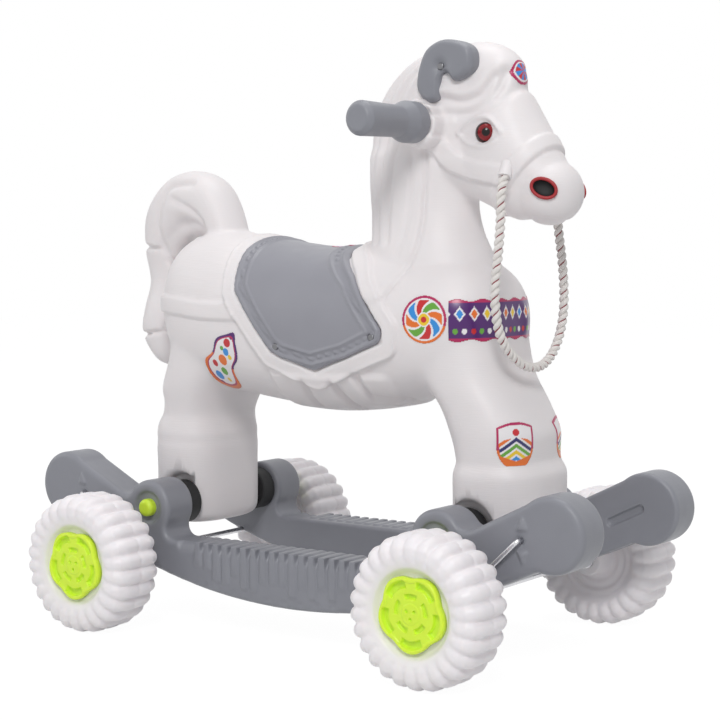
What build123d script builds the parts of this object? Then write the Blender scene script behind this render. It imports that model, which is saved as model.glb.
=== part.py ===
from build123d import *
from math import cos, hypot, pi, radians, sin, sqrt, tan
import os

os.makedirs("parts", exist_ok=True)

# Ride-on horse on wheels, in millimetres. The ground is Z = 0 and the origin lies on it, midway
# between the four wheels. +X is the horse's forward direction and -Y is its right-hand side.

# Wheels and axles
WHEEL_RADIUS = 75.0
WHEELBASE = 440.0
AXLE_X = WHEELBASE / 2
TRACK = 348.0
TYRE_WIDTH = 64.0
TYRE_WALL = 3.0
LUG_COUNT = 26
LUG_RADIUS = 8.0
AXLE_RADIUS = 3.0
AXLE_CLEARANCE = 0.06
BUSH_RADIUS = 7.0
HUB_FACE = 22.0
HUB_BOSS = 45.0
HUB_PLATE_RADIUS = 38.0
HUB_PLATE_DEPTH = 8.0
LOBE_PITCH = 22.0
LOBE_COUNT = 5

# Rockers
RAIL_GAP = 150.0
RAIL_WIDTH = 43.0
RAIL_WALL = 3.0
ROCK_RADIUS = 680.0
RAIL_LOW = 38.0
BEAM_TOP = 96.0
BOSS_RADIUS = 30.0
PADDLE_RADIUS = 37.5
PADDLE_X = 317.0
PADDLE_Z = 144.5
BOLT_X = 190.0
BOLT_Z = 129.0
RIB_PITCH = 13.0
RIB_WIDTH = 8.0
RIB_HEIGHT = 2.0
RIB_COUNT = 19
LIP_PITCH = 22.0
LIP_COUNT = 11
LIP_HEIGHT = 14.0

# Links from rocker to axle
LINK_RADIUS = 2.5
PIVOT_X = 287.0
PIVOT_Z = 138.0
PIVOT_DEPTH = 17.0
LUG_HEIGHT = 3.0

# Leg bolts
BOLT_RADIUS = 4.0
BOLT_HEAD_RADIUS = 6.5
BOLT_HEAD_HEIGHT = 5.0
CAP_RADIUS = 9.6
CAP_RECESS_RADIUS = 18.0
CAP_RECESS_DEPTH = 4.0
BUSH_OUTER_RADIUS = 24.0
POCKET_RADIUS = 31.0
POCKET_FLOOR_Y = 54.0
TUBE_RADIUS = 8.0
WASHER_THICKNESS = 1.5

# Horse
SHELL_WALL = 3.0
BODY_WIDTH = 170.0
SEAT_HEIGHT = 409.0
BELLY_HEIGHT = 240.0
STUMP_X = 204.0
STUMP_LOW = 103.0
STUMP_WIDTH = 124.0
FRONT_STUMP_LENGTH = 98.0
REAR_STUMP_LENGTH = 86.0
HEAD_WIDTH = 84.0
SKIRT_HEIGHT = 4.0
SADDLE_THICKNESS = 4.0

# Handle
HANDLE_X = 130.0
HANDLE_Z = 537.5
HANDLE_BAR_RADIUS = 8.0
HANDLE_SPAN = 316.0
GRIP_RADIUS = 16.5
GRIP_FLANGE_RADIUS = 21.0
GRIP_LENGTH = 98.0

# Fits
GAP = 0.3
FIT = 0.05



def oval(half_u, half_v, power, count=20):
    """Points of a closed rounded outline: an ellipse at power 2, squarer above it."""
    points = []
    for step in range(count):
        turn = 2 * pi * (step + 0.5) / count
        u = abs(cos(turn)) ** (2 / power) * half_u
        v = abs(sin(turn)) ** (2 / power) * half_v
        points.append((u if cos(turn) > 0 else -u, v if sin(turn) > 0 else -v))
    return points


def grown(stations, grow):
    """The stations with each half size grown (or shrunk) and the two ends moved as far."""
    return [
        (place, direction, half_u + grow, half_v + grow, power)
        for place, direction, half_u, half_v, power in stations
        if min(half_u, half_v) + grow > 2
    ]


def form(stations, grow=0.0):
    """A lofted form. A station is its centre, the loft's direction, two half sizes and a power."""
    kept = grown(stations, grow)
    with BuildPart() as made:
        for number, (place, direction, half_u, half_v, power) in enumerate(kept):
            shift = 0.0
            if number == 0:
                shift = -grow
            if number == len(kept) - 1:
                shift = grow
            along = Vector(*direction).normalized()
            across = (1, 0, 0) if abs(along.Z) > 0.99 else (0, 1, 0)
            plane = Plane(origin=Vector(*place) + along * shift, x_dir=across, z_dir=along)
            with BuildSketch(plane):
                with BuildLine():
                    Spline(*oval(half_u, half_v, power), periodic=True)
                make_face()
        loft()
    return made.part


def cavity(stations, wall):
    """The stepped hollow of a form: a ten-sided prism in each span of up to two station gaps."""
    with BuildPart() as made:
        for number in range(0, len(stations) - 1, 2):
            group = stations[number:number + 3]
            start = Vector(*group[0][0])
            end = Vector(*group[-1][0])
            run = (end - start).normalized()
            bend = max((Vector(*station[0]) - start).cross(run).length for station in group)
            half_u = min(station[2] for station in group) - wall - bend
            half_v = min(station[3] for station in group) - wall - bend
            if min(half_u, half_v) < 2 * wall:
                continue
            if number == 0:
                start = start + run * wall
            if group[-1] is stations[-1]:
                end = end - run * wall
            along = sum((Vector(*station[1]).normalized() for station in group), Vector())
            across = (1, 0, 0) if abs(along.normalized().Z) > 0.99 else (0, 1, 0)
            with BuildSketch(Plane(origin=start, x_dir=across, z_dir=along.normalized())):
                Polygon(*oval(half_u, half_v, group[0][4], 10), align=None)
            extrude(amount=(end - start).length, dir=run)
    return made.part


def torso_stations():
    rear = -228.0
    rows = [
        # x, lowest z, highest z, share of the full half width
        (rear, 322, 372, 0.30),
        (rear + 8, 292, 402, 0.62),
        (-200, 272, 424, 0.83),
        (-160, 256, 433, 0.95),
        (-100, 248, 421, 1.00),
        (-45, BELLY_HEIGHT + 2, SEAT_HEIGHT + 3, 1.00),
        (5, BELLY_HEIGHT, SEAT_HEIGHT, 1.00),
        (55, BELLY_HEIGHT + 4, SEAT_HEIGHT + 3, 0.99),
        (110, 254, 412, 0.96),
        (160, 268, 404, 0.88),
        (190, 286, 388, 0.72),
        (206, 310, 362, 0.40),
    ]
    return [
        ((x, 0, (low + high) / 2), (1, 0, 0), BODY_WIDTH / 2 * share, (high - low) / 2, 2.3)
        for x, low, high, share in rows
    ]


def stump_stations(end, length):
    """One leg stump, from its flat foot up into the torso. end is 1 in front and -1 behind."""
    half_x = length / 2
    half_y = STUMP_WIDTH / 2
    foot = STUMP_LOW
    rows = [
        # z, shift towards the middle, change of half length, change of half width
        (foot, 0, -13, -13),
        (foot + 5, 0, -4.5, -4.5),
        (foot + 16, 0, 0, 0),
        (foot + 60, 0, 0, 0),
        (foot + 98, 0, 2, 0),
        (foot + 122, 3, -3, -3),
    ]
    if end > 0:
        rows += [(foot + 150, 17, -5, 0), (foot + 180, 37, -1, 4), (foot + 215, 50, 2, 6)]
    else:
        rows += [(foot + 150, 12, 2, 2), (foot + 180, 29, 7, 6), (foot + 215, 37, 5, 8)]
    return [
        ((end * (STUMP_X - shift), 0, z), (0, 0, 1), half_x + longer, half_y + wider, 2.8)
        for z, shift, longer, wider in rows
    ]


def neck_stations():
    rows = [
        # z, back x, front x, half width, power
        (300, 60, 200, 62, 2.4),
        (345, 52, 196, 64, 2.4),
        (380, 47, 186, 60, 2.3),
        (408, 45, 174, 54, 2.2),
        (431, 45, 164, 48, 2.1),
        (460, 43, 160, 44, 2.1),
        (490, 42, 170, 43, 2.1),
        (526, 42, 200, 42, 2.1),
        (552, 47, 222, 41, 2.1),
        (575, 60, 222, 40, 2.1),
        (595, 80, 218, 36, 2.1),
        (608, 102, 207, 29, 2.0),
        (616, 128, 192, 18, 2.0),
        (619, 146, 180, 9, 2.0),
    ]
    return [
        (((back + front) / 2, 0, z), (0, 0, 1), (front - back) / 2, half, power)
        for z, back, front, half, power in rows
    ]


def head_stations():
    """Cheeks and nose, along a line that falls forwards from the middle of the head."""
    half = HEAD_WIDTH / 2
    rows = [
        # top x and z, bottom x and z, half width
        (204, 592, 128, 478, half - 8),
        (222, 572, 154, 466, half - 2),
        (238, 545, 180, 456, half),
        (254, 518, 204, 444, half - 3),
        (268, 500, 226, 437, half - 4),
        (278, 486, 242, 433, half - 6),
        (283, 476, 255, 434, half - 12),
        (286, 466, 267, 441, half - 24),
    ]
    stations = []
    for top_x, top_z, low_x, low_z, wide in rows:
        place = ((top_x + low_x) / 2, 0, (top_z + low_z) / 2)
        rise = (top_x - low_x, top_z - low_z)
        direction = (rise[1], 0, -rise[0])
        stations.append((place, direction, wide, hypot(*rise) / 2, 2.1))
    return stations


def tail_stations():
    rows = [
        # spine x and z, half thickness, half width
        (-165, 414, 20, 26),
        (-176, 445, 22, 28),
        (-197, 466, 30, 31),
        (-229, 466, 33, 31),
        (-257, 443, 29, 28),
        (-266, 410, 20, 24),
        (-262, 376, 17, 22),
        (-263, 345, 27, 25),
        (-266, 318, 29, 26),
        (-257, 290, 20, 20),
        (-251, 278, 9, 10),
    ]
    stations = []
    for number, (x, z, thick, wide) in enumerate(rows):
        before = rows[max(number - 1, 0)]
        after = rows[min(number + 1, len(rows) - 1)]
        direction = (after[0] - before[0], 0, after[1] - before[1])
        stations.append(((x, 0, z), direction, wide, thick, 2.2))
    return stations


SIDES = (("right", -1), ("left", 1))
ENDS = (("front", 1), ("rear", -1))
RAIL_INNER = RAIL_GAP / 2
RAIL_OUTER = RAIL_INNER + RAIL_WIDTH


def side_plane(side, x, y, z):
    """A plane square to the model's sides, facing outwards. side is -1 for right, 1 for left."""
    return Plane(origin=(x, side * y, z), x_dir=(1, 0, 0), z_dir=(0, side, 0))


def rod(side, x, z, radius, inner_y, outer_y, bore=0.0):
    """A round bar or sleeve across the model, from inner_y to outer_y on one side."""
    with BuildPart() as made:
        with BuildSketch(side_plane(side, x, inner_y, z)):
            Circle(radius)
            if bore:
                Circle(bore, mode=Mode.SUBTRACT)
        extrude(amount=outer_y - inner_y)
    return made.part


def save(part, name):
    part.label = name
    export_step(part, "parts/" + name + ".step")


# Rockers. Each is a hollow rail: a ribbed beam between two arms that end in round paddles.
BEAM_HALF = BOLT_X - BOSS_RADIUS - 14
BEAM_ROUNDING = 14.0
PADDLE_ROUNDING = 6.0
CORNER_ROUNDING = 12.0
SLEEVE_WALL = 6.0
SLOT_LENGTH = 46.0
SLOT_WIDTH = 9.0
SLOT_DEPTH = 4.0


def rock_z(x):
    """Height of the rocking face at x."""
    return RAIL_LOW + ROCK_RADIUS - sqrt(ROCK_RADIUS**2 - x**2)


def rail_plane(inset=0.0):
    """The inner face of the right-hand rail, facing outwards."""
    return Plane.XZ.offset(RAIL_INNER + inset)


def beam_edge(inset):
    """What the long round on the beam's outer top edge takes away."""
    radius = BEAM_ROUNDING - inset
    outer = -RAIL_OUTER + inset
    top = BEAM_TOP - inset
    with BuildPart() as made:
        with BuildSketch(Plane.YZ.offset(-BEAM_HALF)):
            with BuildLine():
                ThreePointArc(
                    (outer, top - radius),
                    (outer + radius * (1 - sqrt(0.5)), top - radius * (1 - sqrt(0.5))),
                    (outer + radius, top),
                )
                Polyline(
                    (outer + radius, top),
                    (outer + radius, top + 1),
                    (outer - 1, top + 1),
                    (outer - 1, top - radius),
                    (outer, top - radius),
                )
            make_face()
        extrude(amount=2 * BEAM_HALF)
    return made.part


def rail_body(inset):
    """The right-hand rail as a solid, or its hollow."""
    reach = PADDLE_X - 8
    slope = [
        (reach, rock_z(reach)),
        (PADDLE_X - 16, PADDLE_Z + PADDLE_RADIUS - 5),
        (BOLT_X + BOSS_RADIUS + 12, BOLT_Z + 14),
        (BOLT_X - BOSS_RADIUS / 2, BOLT_Z),
        (BOLT_X - BOSS_RADIUS / 2, BEAM_TOP),
    ]
    with BuildPart() as made:
        with BuildSketch(rail_plane(inset)):
            with BuildLine():
                ThreePointArc((-reach, rock_z(reach)), (0, RAIL_LOW), (reach, rock_z(reach)))
                Polyline(*slope, *[(-x, z) for x, z in reversed(slope)])
            make_face()
            for _, end in ENDS:
                with Locations((end * PADDLE_X, PADDLE_Z)):
                    Circle(PADDLE_RADIUS)
                with Locations((end * BOLT_X, BOLT_Z)):
                    Circle(BOSS_RADIUS)
            offset(amount=CORNER_ROUNDING)
            offset(amount=-CORNER_ROUNDING - inset)
        extrude(amount=RAIL_WIDTH - 2 * inset)
        fillet(made.faces().sort_by(Axis.Y)[0].edges(), PADDLE_ROUNDING - inset)
        if not inset:
            fillet(made.faces().sort_by(Axis.Y)[-1].edges(), PADDLE_ROUNDING - 2)
        add(beam_edge(inset), mode=Mode.SUBTRACT)
    return made.part


def paddle_slot(end, grow):
    """The long shallow slot in the inner face of a paddle of the right-hand rail."""
    with BuildPart() as made:
        with BuildSketch(rail_plane()):
            with Locations(Location((end * (PADDLE_X - 22), PADDLE_Z - 8, 0), end * 26)):
                SlotOverall(SLOT_LENGTH + 2 * grow, SLOT_WIDTH + 2 * grow)
        extrude(amount=SLOT_DEPTH + grow)
    return made.part


def rail_hollow():
    """The space inside the right-hand rail, less the solid places round bolt, pivot and axle."""
    recess_wall = RAIL_OUTER - CAP_RECESS_DEPTH - RAIL_WALL
    with BuildPart() as made:
        add(rail_body(RAIL_WALL))
        for _, end in ENDS:
            kept = (
                rod(-1, end * BOLT_X, BOLT_Z, BOLT_RADIUS + SLEEVE_WALL, RAIL_INNER, RAIL_OUTER),
                rod(-1, end * BOLT_X, BOLT_Z, CAP_RECESS_RADIUS + RAIL_WALL, recess_wall, RAIL_OUTER),
                rod(-1, end * PIVOT_X, PIVOT_Z, LINK_RADIUS + SLEEVE_WALL, RAIL_OUTER - PIVOT_DEPTH - 3, RAIL_OUTER),
                rod(-1, end * AXLE_X, WHEEL_RADIUS, AXLE_RADIUS + SLEEVE_WALL, RAIL_INNER, RAIL_OUTER),
                paddle_slot(end, RAIL_WALL),
            )
            for piece in kept:
                add(piece, mode=Mode.SUBTRACT)
    return made.part


def ribs():
    """The ribs over the top and down the outer side of the right-hand beam."""
    inner = RAIL_INNER + 8
    outer = RAIL_OUTER + RIB_HEIGHT
    with BuildPart() as made:
        for number in range(RIB_COUNT):
            x = (number - (RIB_COUNT - 1) / 2) * RIB_PITCH
            low = rock_z(x) + LIP_HEIGHT
            top = BEAM_TOP + RIB_HEIGHT
            with BuildSketch(Plane.YZ.offset(x - RIB_WIDTH / 2)) as profile:
                with Locations((-(inner + outer) / 2, (low + top) / 2)):
                    Rectangle(outer - inner, top - low)
                corners = profile.vertices().group_by(Axis.Z)[-1].sort_by(Axis.Y)
                fillet(corners[0], BEAM_ROUNDING + RIB_HEIGHT)
            extrude(amount=RIB_WIDTH)
    return made.part


def detent_lug(end, upper):
    """One of the two three-cornered lugs beside the link hole, on the outer face."""
    flip = 1 if upper else -1
    corners = [(-4, flip * 9), (8, flip * 10), (3, flip * 23)]
    points = [(end * (PIVOT_X + x), PIVOT_Z + z) for x, z in corners]
    with BuildPart() as made:
        with BuildSketch(Plane.XZ.offset(RAIL_OUTER - 0.5)):
            with BuildLine():
                Polyline(*points, points[0])
            make_face()
        extrude(amount=LUG_HEIGHT + 0.5, taper=14)
    return made.part


def rail_cuts():
    """The slots, holes, recesses and the axle's groove of the right-hand rail."""
    with BuildPart() as made:
        for _, end in ENDS:
            bolt = (-1, end * BOLT_X, BOLT_Z)
            pivot = (-1, end * PIVOT_X, PIVOT_Z)
            axle = (-1, end * AXLE_X, WHEEL_RADIUS)
            add(paddle_slot(end, 0))
            add(rod(*bolt, BOLT_RADIUS + FIT, RAIL_INNER, RAIL_OUTER))
            add(rod(*bolt, CAP_RECESS_RADIUS, RAIL_OUTER - CAP_RECESS_DEPTH, RAIL_OUTER + 10))
            add(rod(*pivot, LINK_RADIUS + FIT, RAIL_OUTER - PIVOT_DEPTH, RAIL_OUTER + 10))
            add(rod(*pivot, LINK_RADIUS + 3, RAIL_OUTER - 1.5, RAIL_OUTER + 10))
            add(rod(*axle, AXLE_RADIUS + GAP, RAIL_INNER, RAIL_OUTER))
        for number in range(LIP_COUNT):
            x = (number - (LIP_COUNT - 1) / 2) * LIP_PITCH
            with Locations((x, -RAIL_OUTER, rock_z(x) + LIP_HEIGHT / 2)):
                Box(10, 2.4, 6)
    return made.part


def rocker_right():
    with BuildPart() as made:
        add(rail_body(0))
        add(ribs())
        add([detent_lug(end, upper) for _, end in ENDS for upper in (True, False)])
        add(rail_hollow(), mode=Mode.SUBTRACT)
        add(rail_cuts(), mode=Mode.SUBTRACT)
    return made.part


right_rail = rocker_right()
save(right_rail, "rocker_right")
with BuildPart() as left_rail:
    mirror(right_rail, about=Plane.XZ)
save(left_rail.part, "rocker_left")

# Leg bolts: head, washer and lime cap on the right, washer, nut and cap on the left.
SEAT_Y = RAIL_OUTER - CAP_RECESS_DEPTH
HEAD_Y = SEAT_Y + WASHER_THICKNESS
CAP_WALL = 1.4
CAP_HEIGHT = 10.0


def leg_bolt(end):
    x = end * BOLT_X
    with BuildPart() as made:
        add(rod(1, x, BOLT_Z, BOLT_RADIUS, -HEAD_Y, HEAD_Y + BOLT_HEAD_HEIGHT + 1))
        with BuildSketch(side_plane(-1, x, HEAD_Y, BOLT_Z)):
            RegularPolygon(BOLT_HEAD_RADIUS, 6, major_radius=False)
        extrude(amount=BOLT_HEAD_HEIGHT)
    return made.part


def leg_nut(end):
    with BuildPart() as made:
        with BuildSketch(side_plane(1, end * BOLT_X, HEAD_Y, BOLT_Z)):
            RegularPolygon(BOLT_HEAD_RADIUS, 6, major_radius=False)
            Circle(BOLT_RADIUS + FIT, mode=Mode.SUBTRACT)
        extrude(amount=BOLT_HEAD_HEIGHT)
    return made.part


def bolt_cap(side, end):
    """A domed lime cup over a bolt's head or nut."""
    x = end * BOLT_X
    with BuildPart() as made:
        add(rod(side, x, BOLT_Z, CAP_RADIUS, SEAT_Y, SEAT_Y + CAP_HEIGHT))
        outer = made.faces().sort_by(Axis.Y)[-1 if side > 0 else 0]
        fillet(outer.edges(), 4.5)
        add(rod(side, x, BOLT_Z, CAP_RADIUS - CAP_WALL, SEAT_Y, SEAT_Y + CAP_HEIGHT - 2), mode=Mode.SUBTRACT)
    return made.part


def leg_bush(side, end):
    """The black spacer between a stump's pocket and a rail's boss."""
    place = (side, end * BOLT_X, BOLT_Z)
    with BuildPart() as made:
        add(rod(*place, BUSH_OUTER_RADIUS, POCKET_FLOOR_Y + GAP, RAIL_INNER - GAP, bore=BOLT_RADIUS + FIT))
        chamfer(made.edges().filter_by(GeomType.CIRCLE).group_by(SortBy.RADIUS)[-1], 1.2)
    return made.part


for end_name, end in ENDS:
    save(leg_bolt(end), end_name + "_leg_bolt")
    inner_floor = POCKET_FLOOR_Y - SHELL_WALL - GAP
    spacer = rod(1, end * BOLT_X, BOLT_Z, TUBE_RADIUS, -inner_floor, inner_floor, bore=BOLT_RADIUS + FIT)
    save(spacer, end_name + "_spacer_tube")

with BuildPart() as leg_nuts:
    for _, end in ENDS:
        add(leg_nut(end))
save(leg_nuts.part, "leg_nuts")

with BuildPart() as leg_washers:
    for _, end in ENDS:
        for _, side in SIDES:
            radius = CAP_RADIUS - CAP_WALL - GAP
            add(rod(side, end * BOLT_X, BOLT_Z, radius, SEAT_Y, HEAD_Y, bore=BOLT_RADIUS + FIT))
save(leg_washers.part, "leg_washers")

with BuildPart() as bolt_caps:
    for _, end in ENDS:
        for _, side in SIDES:
            add(bolt_cap(side, end))
save(bolt_caps.part, "bolt_caps")

for end_name, end in ENDS:
    with BuildPart() as bushes:
        for _, side in SIDES:
            add(leg_bush(side, end))
    save(bushes.part, end_name + "_leg_bushes")

# Axles and links. A link is one steel wire: an eye round the axle, a straight run up the rail's
# face and a bent end in the rail's hole.
LINK_Y = RAIL_OUTER + LUG_HEIGHT + GAP + LINK_RADIUS
EYE_RADIUS = AXLE_RADIUS + AXLE_CLEARANCE + LINK_RADIUS
NUT_Y = TRACK / 2 + HUB_FACE + GAP
AXLE_END = NUT_Y + 3.5


def link(side, end):
    pivot = Vector(end * PIVOT_X, side * LINK_Y, PIVOT_Z)
    axle = Vector(end * AXLE_X, side * LINK_Y, WHEEL_RADIUS)
    along = (pivot - axle).normalized()
    tip = Vector(end * PIVOT_X, side * (RAIL_OUTER - PIVOT_DEPTH + 1), PIVOT_Z)
    with BuildPart() as made:
        with BuildLine():
            FilletPolyline(axle + along * EYE_RADIUS, pivot, tip, radius=LINK_RADIUS * 1.6)
        with BuildSketch(Plane(origin=axle + along * EYE_RADIUS, z_dir=along)):
            Circle(LINK_RADIUS)
        sweep()
        with Locations(Plane(origin=axle, x_dir=(1, 0, 0), z_dir=(0, 1, 0))):
            Torus(EYE_RADIUS, LINK_RADIUS)
    return made.part


for end_name, end in ENDS:
    x = end * AXLE_X
    save(rod(1, x, WHEEL_RADIUS, AXLE_RADIUS, -AXLE_END, AXLE_END), end_name + "_axle")
    for side_name, side in SIDES:
        save(link(side, end), end_name + "_link_" + side_name)
    with BuildPart() as washers:
        for _, side in SIDES:
            inner = LINK_Y + LINK_RADIUS + GAP
            outer = TRACK / 2 - HUB_BOSS - GAP
            add(rod(side, x, WHEEL_RADIUS, 9, inner, outer, bore=AXLE_RADIUS + AXLE_CLEARANCE))
    save(washers.part, end_name + "_axle_washers")
    with BuildPart() as push_nuts:
        for _, side in SIDES:
            add(rod(side, x, WHEEL_RADIUS, 8, NUT_Y, NUT_Y + 2, bore=AXLE_RADIUS + FIT / 2))
    save(push_nuts.part, end_name + "_push_nuts")

# Wheels, made once about the Y axis with the outer side towards +Y, then placed.
LUG_AXIS = WHEEL_RADIUS - LUG_RADIUS
TREAD_RADIUS = WHEEL_RADIUS - 4.5
DISH_RADIUS = HUB_PLATE_RADIUS + 3


def wheel_profile():
    """Half section of the tyre as (distance along the axle, radius)."""
    half = TYRE_WIDTH / 2
    return [
        (-HUB_BOSS, BUSH_RADIUS + FIT),
        (-HUB_BOSS, 17),
        (-HUB_FACE, 20),
        (-HUB_FACE, DISH_RADIUS - 4),
        (-half + 1, DISH_RADIUS + 5),
        (-half, 58),
        (-half + 1.5, 65),
        (-half + 6, TREAD_RADIUS),
        (half - 6, TREAD_RADIUS),
        (half - 1.5, 65),
        (half, 58),
        (half - 1, DISH_RADIUS + 5),
        (HUB_FACE, DISH_RADIUS),
        (HUB_FACE, BUSH_RADIUS + FIT),
    ]


def tread_lug():
    """A rod with ball ends, lying along the Y axis at the foot of the wheel."""
    across = TYRE_WIDTH / 2 - LUG_RADIUS
    round_by = LUG_RADIUS * sqrt(0.5)
    with BuildPart() as made:
        with BuildSketch(Plane.YZ):
            with BuildLine():
                Line((-across - LUG_RADIUS, -LUG_AXIS), (across + LUG_RADIUS, -LUG_AXIS))
                ThreePointArc(
                    (across + LUG_RADIUS, -LUG_AXIS),
                    (across + round_by, -LUG_AXIS - round_by),
                    (across, -WHEEL_RADIUS),
                )
                Line((across, -WHEEL_RADIUS), (-across, -WHEEL_RADIUS))
                ThreePointArc(
                    (-across, -WHEEL_RADIUS),
                    (-across - round_by, -LUG_AXIS - round_by),
                    (-across - LUG_RADIUS, -LUG_AXIS),
                )
            make_face()
        revolve(axis=Axis((0, 0, -LUG_AXIS), (0, 1, 0)))
    return made.part


def tyre():
    wall = TYRE_WALL
    half = TYRE_WIDTH / 2
    with BuildPart() as made:
        with BuildSketch(Plane.YZ):
            with BuildLine():
                points = wheel_profile()
                Polyline(*points, points[0])
            make_face()
        revolve(axis=Axis.Y)
        lug = tread_lug()
        add([lug.rotate(Axis.Y, 360 * number / LUG_COUNT) for number in range(LUG_COUNT)])
        with BuildSketch(Plane.YZ):
            with BuildLine():
                ring = [
                    (-HUB_FACE + wall, BUSH_RADIUS + wall),
                    (-HUB_FACE + wall, DISH_RADIUS - 4),
                    (-half + wall + 1, DISH_RADIUS + 6),
                    (-half + wall, 64),
                    (-half + 7, TREAD_RADIUS - wall),
                    (half - 7, TREAD_RADIUS - wall),
                    (half - wall, 64),
                    (half - wall - 1, DISH_RADIUS + 6),
                    (HUB_FACE - wall, DISH_RADIUS),
                    (HUB_FACE - wall, BUSH_RADIUS + wall),
                ]
                Polyline(*ring, ring[0])
            make_face()
        revolve(axis=Axis.Y, mode=Mode.SUBTRACT)
        with BuildSketch(Plane.YZ):
            with BuildLine():
                Polyline((-1.2, WHEEL_RADIUS + 1), (1.2, WHEEL_RADIUS + 1), (0, WHEEL_RADIUS - 2.5), (-1.2, WHEEL_RADIUS + 1))
            make_face()
        revolve(axis=Axis.Y, mode=Mode.SUBTRACT)
    return made.part


def hub_plate():
    """The lime plate: five round lobes with curved slots round a ringed middle."""
    with BuildPart() as made:
        with BuildSketch(Plane.XZ.offset(-HUB_FACE - GAP)):
            Circle(HUB_PLATE_RADIUS - 6)
            with PolarLocations(LOBE_PITCH, LOBE_COUNT, start_angle=18):
                Circle(HUB_PLATE_RADIUS - LOBE_PITCH)
        extrude(amount=-HUB_PLATE_DEPTH)
        fillet(made.faces().sort_by(Axis.Y)[-1].edges(), 2.5)
        with BuildSketch(Plane.XZ.offset(-HUB_FACE - GAP)):
            with PolarLocations(LOBE_PITCH + 1, LOBE_COUNT, start_angle=18):
                SlotArc(CenterArc((0, 0), 9, -55, 110), 3.6)
        extrude(amount=-HUB_PLATE_DEPTH - 1, mode=Mode.SUBTRACT)
        with BuildSketch(Plane.XZ.offset(-HUB_FACE - GAP)):
            Circle(11)
        extrude(amount=-HUB_PLATE_DEPTH + 3, mode=Mode.SUBTRACT)
        for radius in (17.5, 8.5):
            with BuildSketch(Plane.XZ.offset(-HUB_FACE - GAP - HUB_PLATE_DEPTH)):
                Circle(radius)
                Circle(radius - 2, mode=Mode.SUBTRACT)
            extrude(amount=-1.2)
    return made.part


wheel_tyre = tyre()
wheel_plate = hub_plate()
with BuildPart() as wheel_bush:
    add(rod(1, 0, 0, BUSH_RADIUS, -HUB_BOSS, HUB_FACE - FIT, bore=AXLE_RADIUS + AXLE_CLEARANCE))

for end_name, end in ENDS:
    for side_name, side in SIDES:
        for piece, name in ((wheel_tyre, "tyre"), (wheel_plate, "hub_plate"), (wheel_bush.part, "wheel_bush")):
            place = Location((end * AXLE_X, side * TRACK / 2, WHEEL_RADIUS))
            with BuildPart() as placed:
                if side > 0:
                    add(piece.moved(place))
                else:
                    add(piece.mirror(Plane.XZ).moved(place))
            save(placed.part, name + "_" + end_name + "_" + side_name)

# The horse: one hollow shell. Its pockets, sockets and holes keep a wall behind them.
SADDLE_OUTLINE = [
    (-98, 480), (-98, 410), (-90, 368), (-38, 303), (16, 285),
    (103, 317), (104, 330), (62, 384), (22, 416), (20, 480),
]
SADDLE_CORNER = 12.0
SKIRT_WIDTH = 16.0
SCREW_SPOTS = ((-31, 309, 86.4), (92, 322, 84.2))
SCREW_RADIUS = 1.75
SCREW_HEAD_RADIUS = 3.8
SCREW_LENGTH = 16.0
EAR_INNER = 30.0
EAR_OUTER = 48.0
EAR_SCREW = (151, 593, 43)
EYE_X = 198.0
EYE_Z = 525.6
EYE_RADIUS = 9.0
EYE_FLOOR_Y = 38.0
PUPIL_RADIUS = 4.2
NOSTRIL = (264, 34, 469.5)
NOSTRIL_NORMAL = (0.43, 0.90, 0.10)
NOSTRIL_LONG = 13.5
NOSTRIL_SHORT = 9.7
NOSTRIL_DEPTH = 7.0
BOSS_OUTER_RADIUS = 23.0
GRIP_START = HANDLE_SPAN / 2 - GRIP_LENGTH

# The rein rope: a loop that hangs from both sides of the head and passes under the neck.
ROPE_RADIUS = 4.5
EYELET_RADIUS = 6.5
EYELET_LENGTH = 16.0
ROPE_POINTS = [
    (226, -45, 481), (227, -54, 466), (228, -55, 444), (229, -60, 418), (229, -65, 392),
    (229, -69, 366), (229, -66, 340), (229, -54, 318), (230, -33, 301), (231, -8, 291),
    (231, 18, 291), (230, 41, 302), (229, 58, 321), (229, 66, 346), (229, 66, 373),
    (229, 62, 400), (228, 57, 426), (227, 55, 448), (226, 54, 466), (226, 45, 481),
]


def all_stations():
    return (
        torso_stations(),
        neck_stations(),
        stump_stations(1, FRONT_STUMP_LENGTH),
        stump_stations(-1, REAR_STUMP_LENGTH),
        head_stations(),
        tail_stations(),
    )


def saddle_prism(grow):
    """A block through the whole horse with the saddle's side outline, its corners rounded."""
    with BuildPart() as made:
        with BuildSketch(Plane.XZ):
            with BuildLine():
                Polyline(*SADDLE_OUTLINE, SADDLE_OUTLINE[0])
            make_face()
            offset(amount=-SADDLE_CORNER)
            offset(amount=SADDLE_CORNER + grow)
        extrude(amount=BODY_WIDTH, both=True)
    return made.part


def nostril_plane(side, lift=0.0):
    """A plane on the muzzle's side, facing out through the nostril."""
    out = Vector(NOSTRIL_NORMAL[0], side * NOSTRIL_NORMAL[1], NOSTRIL_NORMAL[2]).normalized()
    place = Vector(NOSTRIL[0], side * NOSTRIL[1], NOSTRIL[2]) + out * lift
    along = Vector(0.94, -side * 0.45, 0.34)
    return Plane(origin=place, x_dir=along - out * along.dot(out), z_dir=out)


def nostril_block(side, grow, low, high):
    """An oval block through the nostril, from low to high along its axis."""
    with BuildPart() as made:
        with BuildSketch(nostril_plane(side, low)):
            Ellipse(NOSTRIL_LONG + grow, NOSTRIL_SHORT + grow)
        extrude(amount=high - low)
    return made.part


def rope_end(side):
    """The rope's end on one side and the direction in which it leaves the head."""
    first, second = (Vector(*point) for point in ROPE_POINTS[:2])
    if side > 0:
        first, second = (Vector(*point) for point in reversed(ROPE_POINTS[-2:]))
    return first, (second - first).normalized()


def eyelet_rod(side, radius, low, high):
    end, out = rope_end(side)
    with BuildPart() as made:
        with BuildSketch(Plane(origin=end + out * low, z_dir=out)):
            Circle(radius)
        extrude(amount=high - low)
    return made.part


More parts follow.
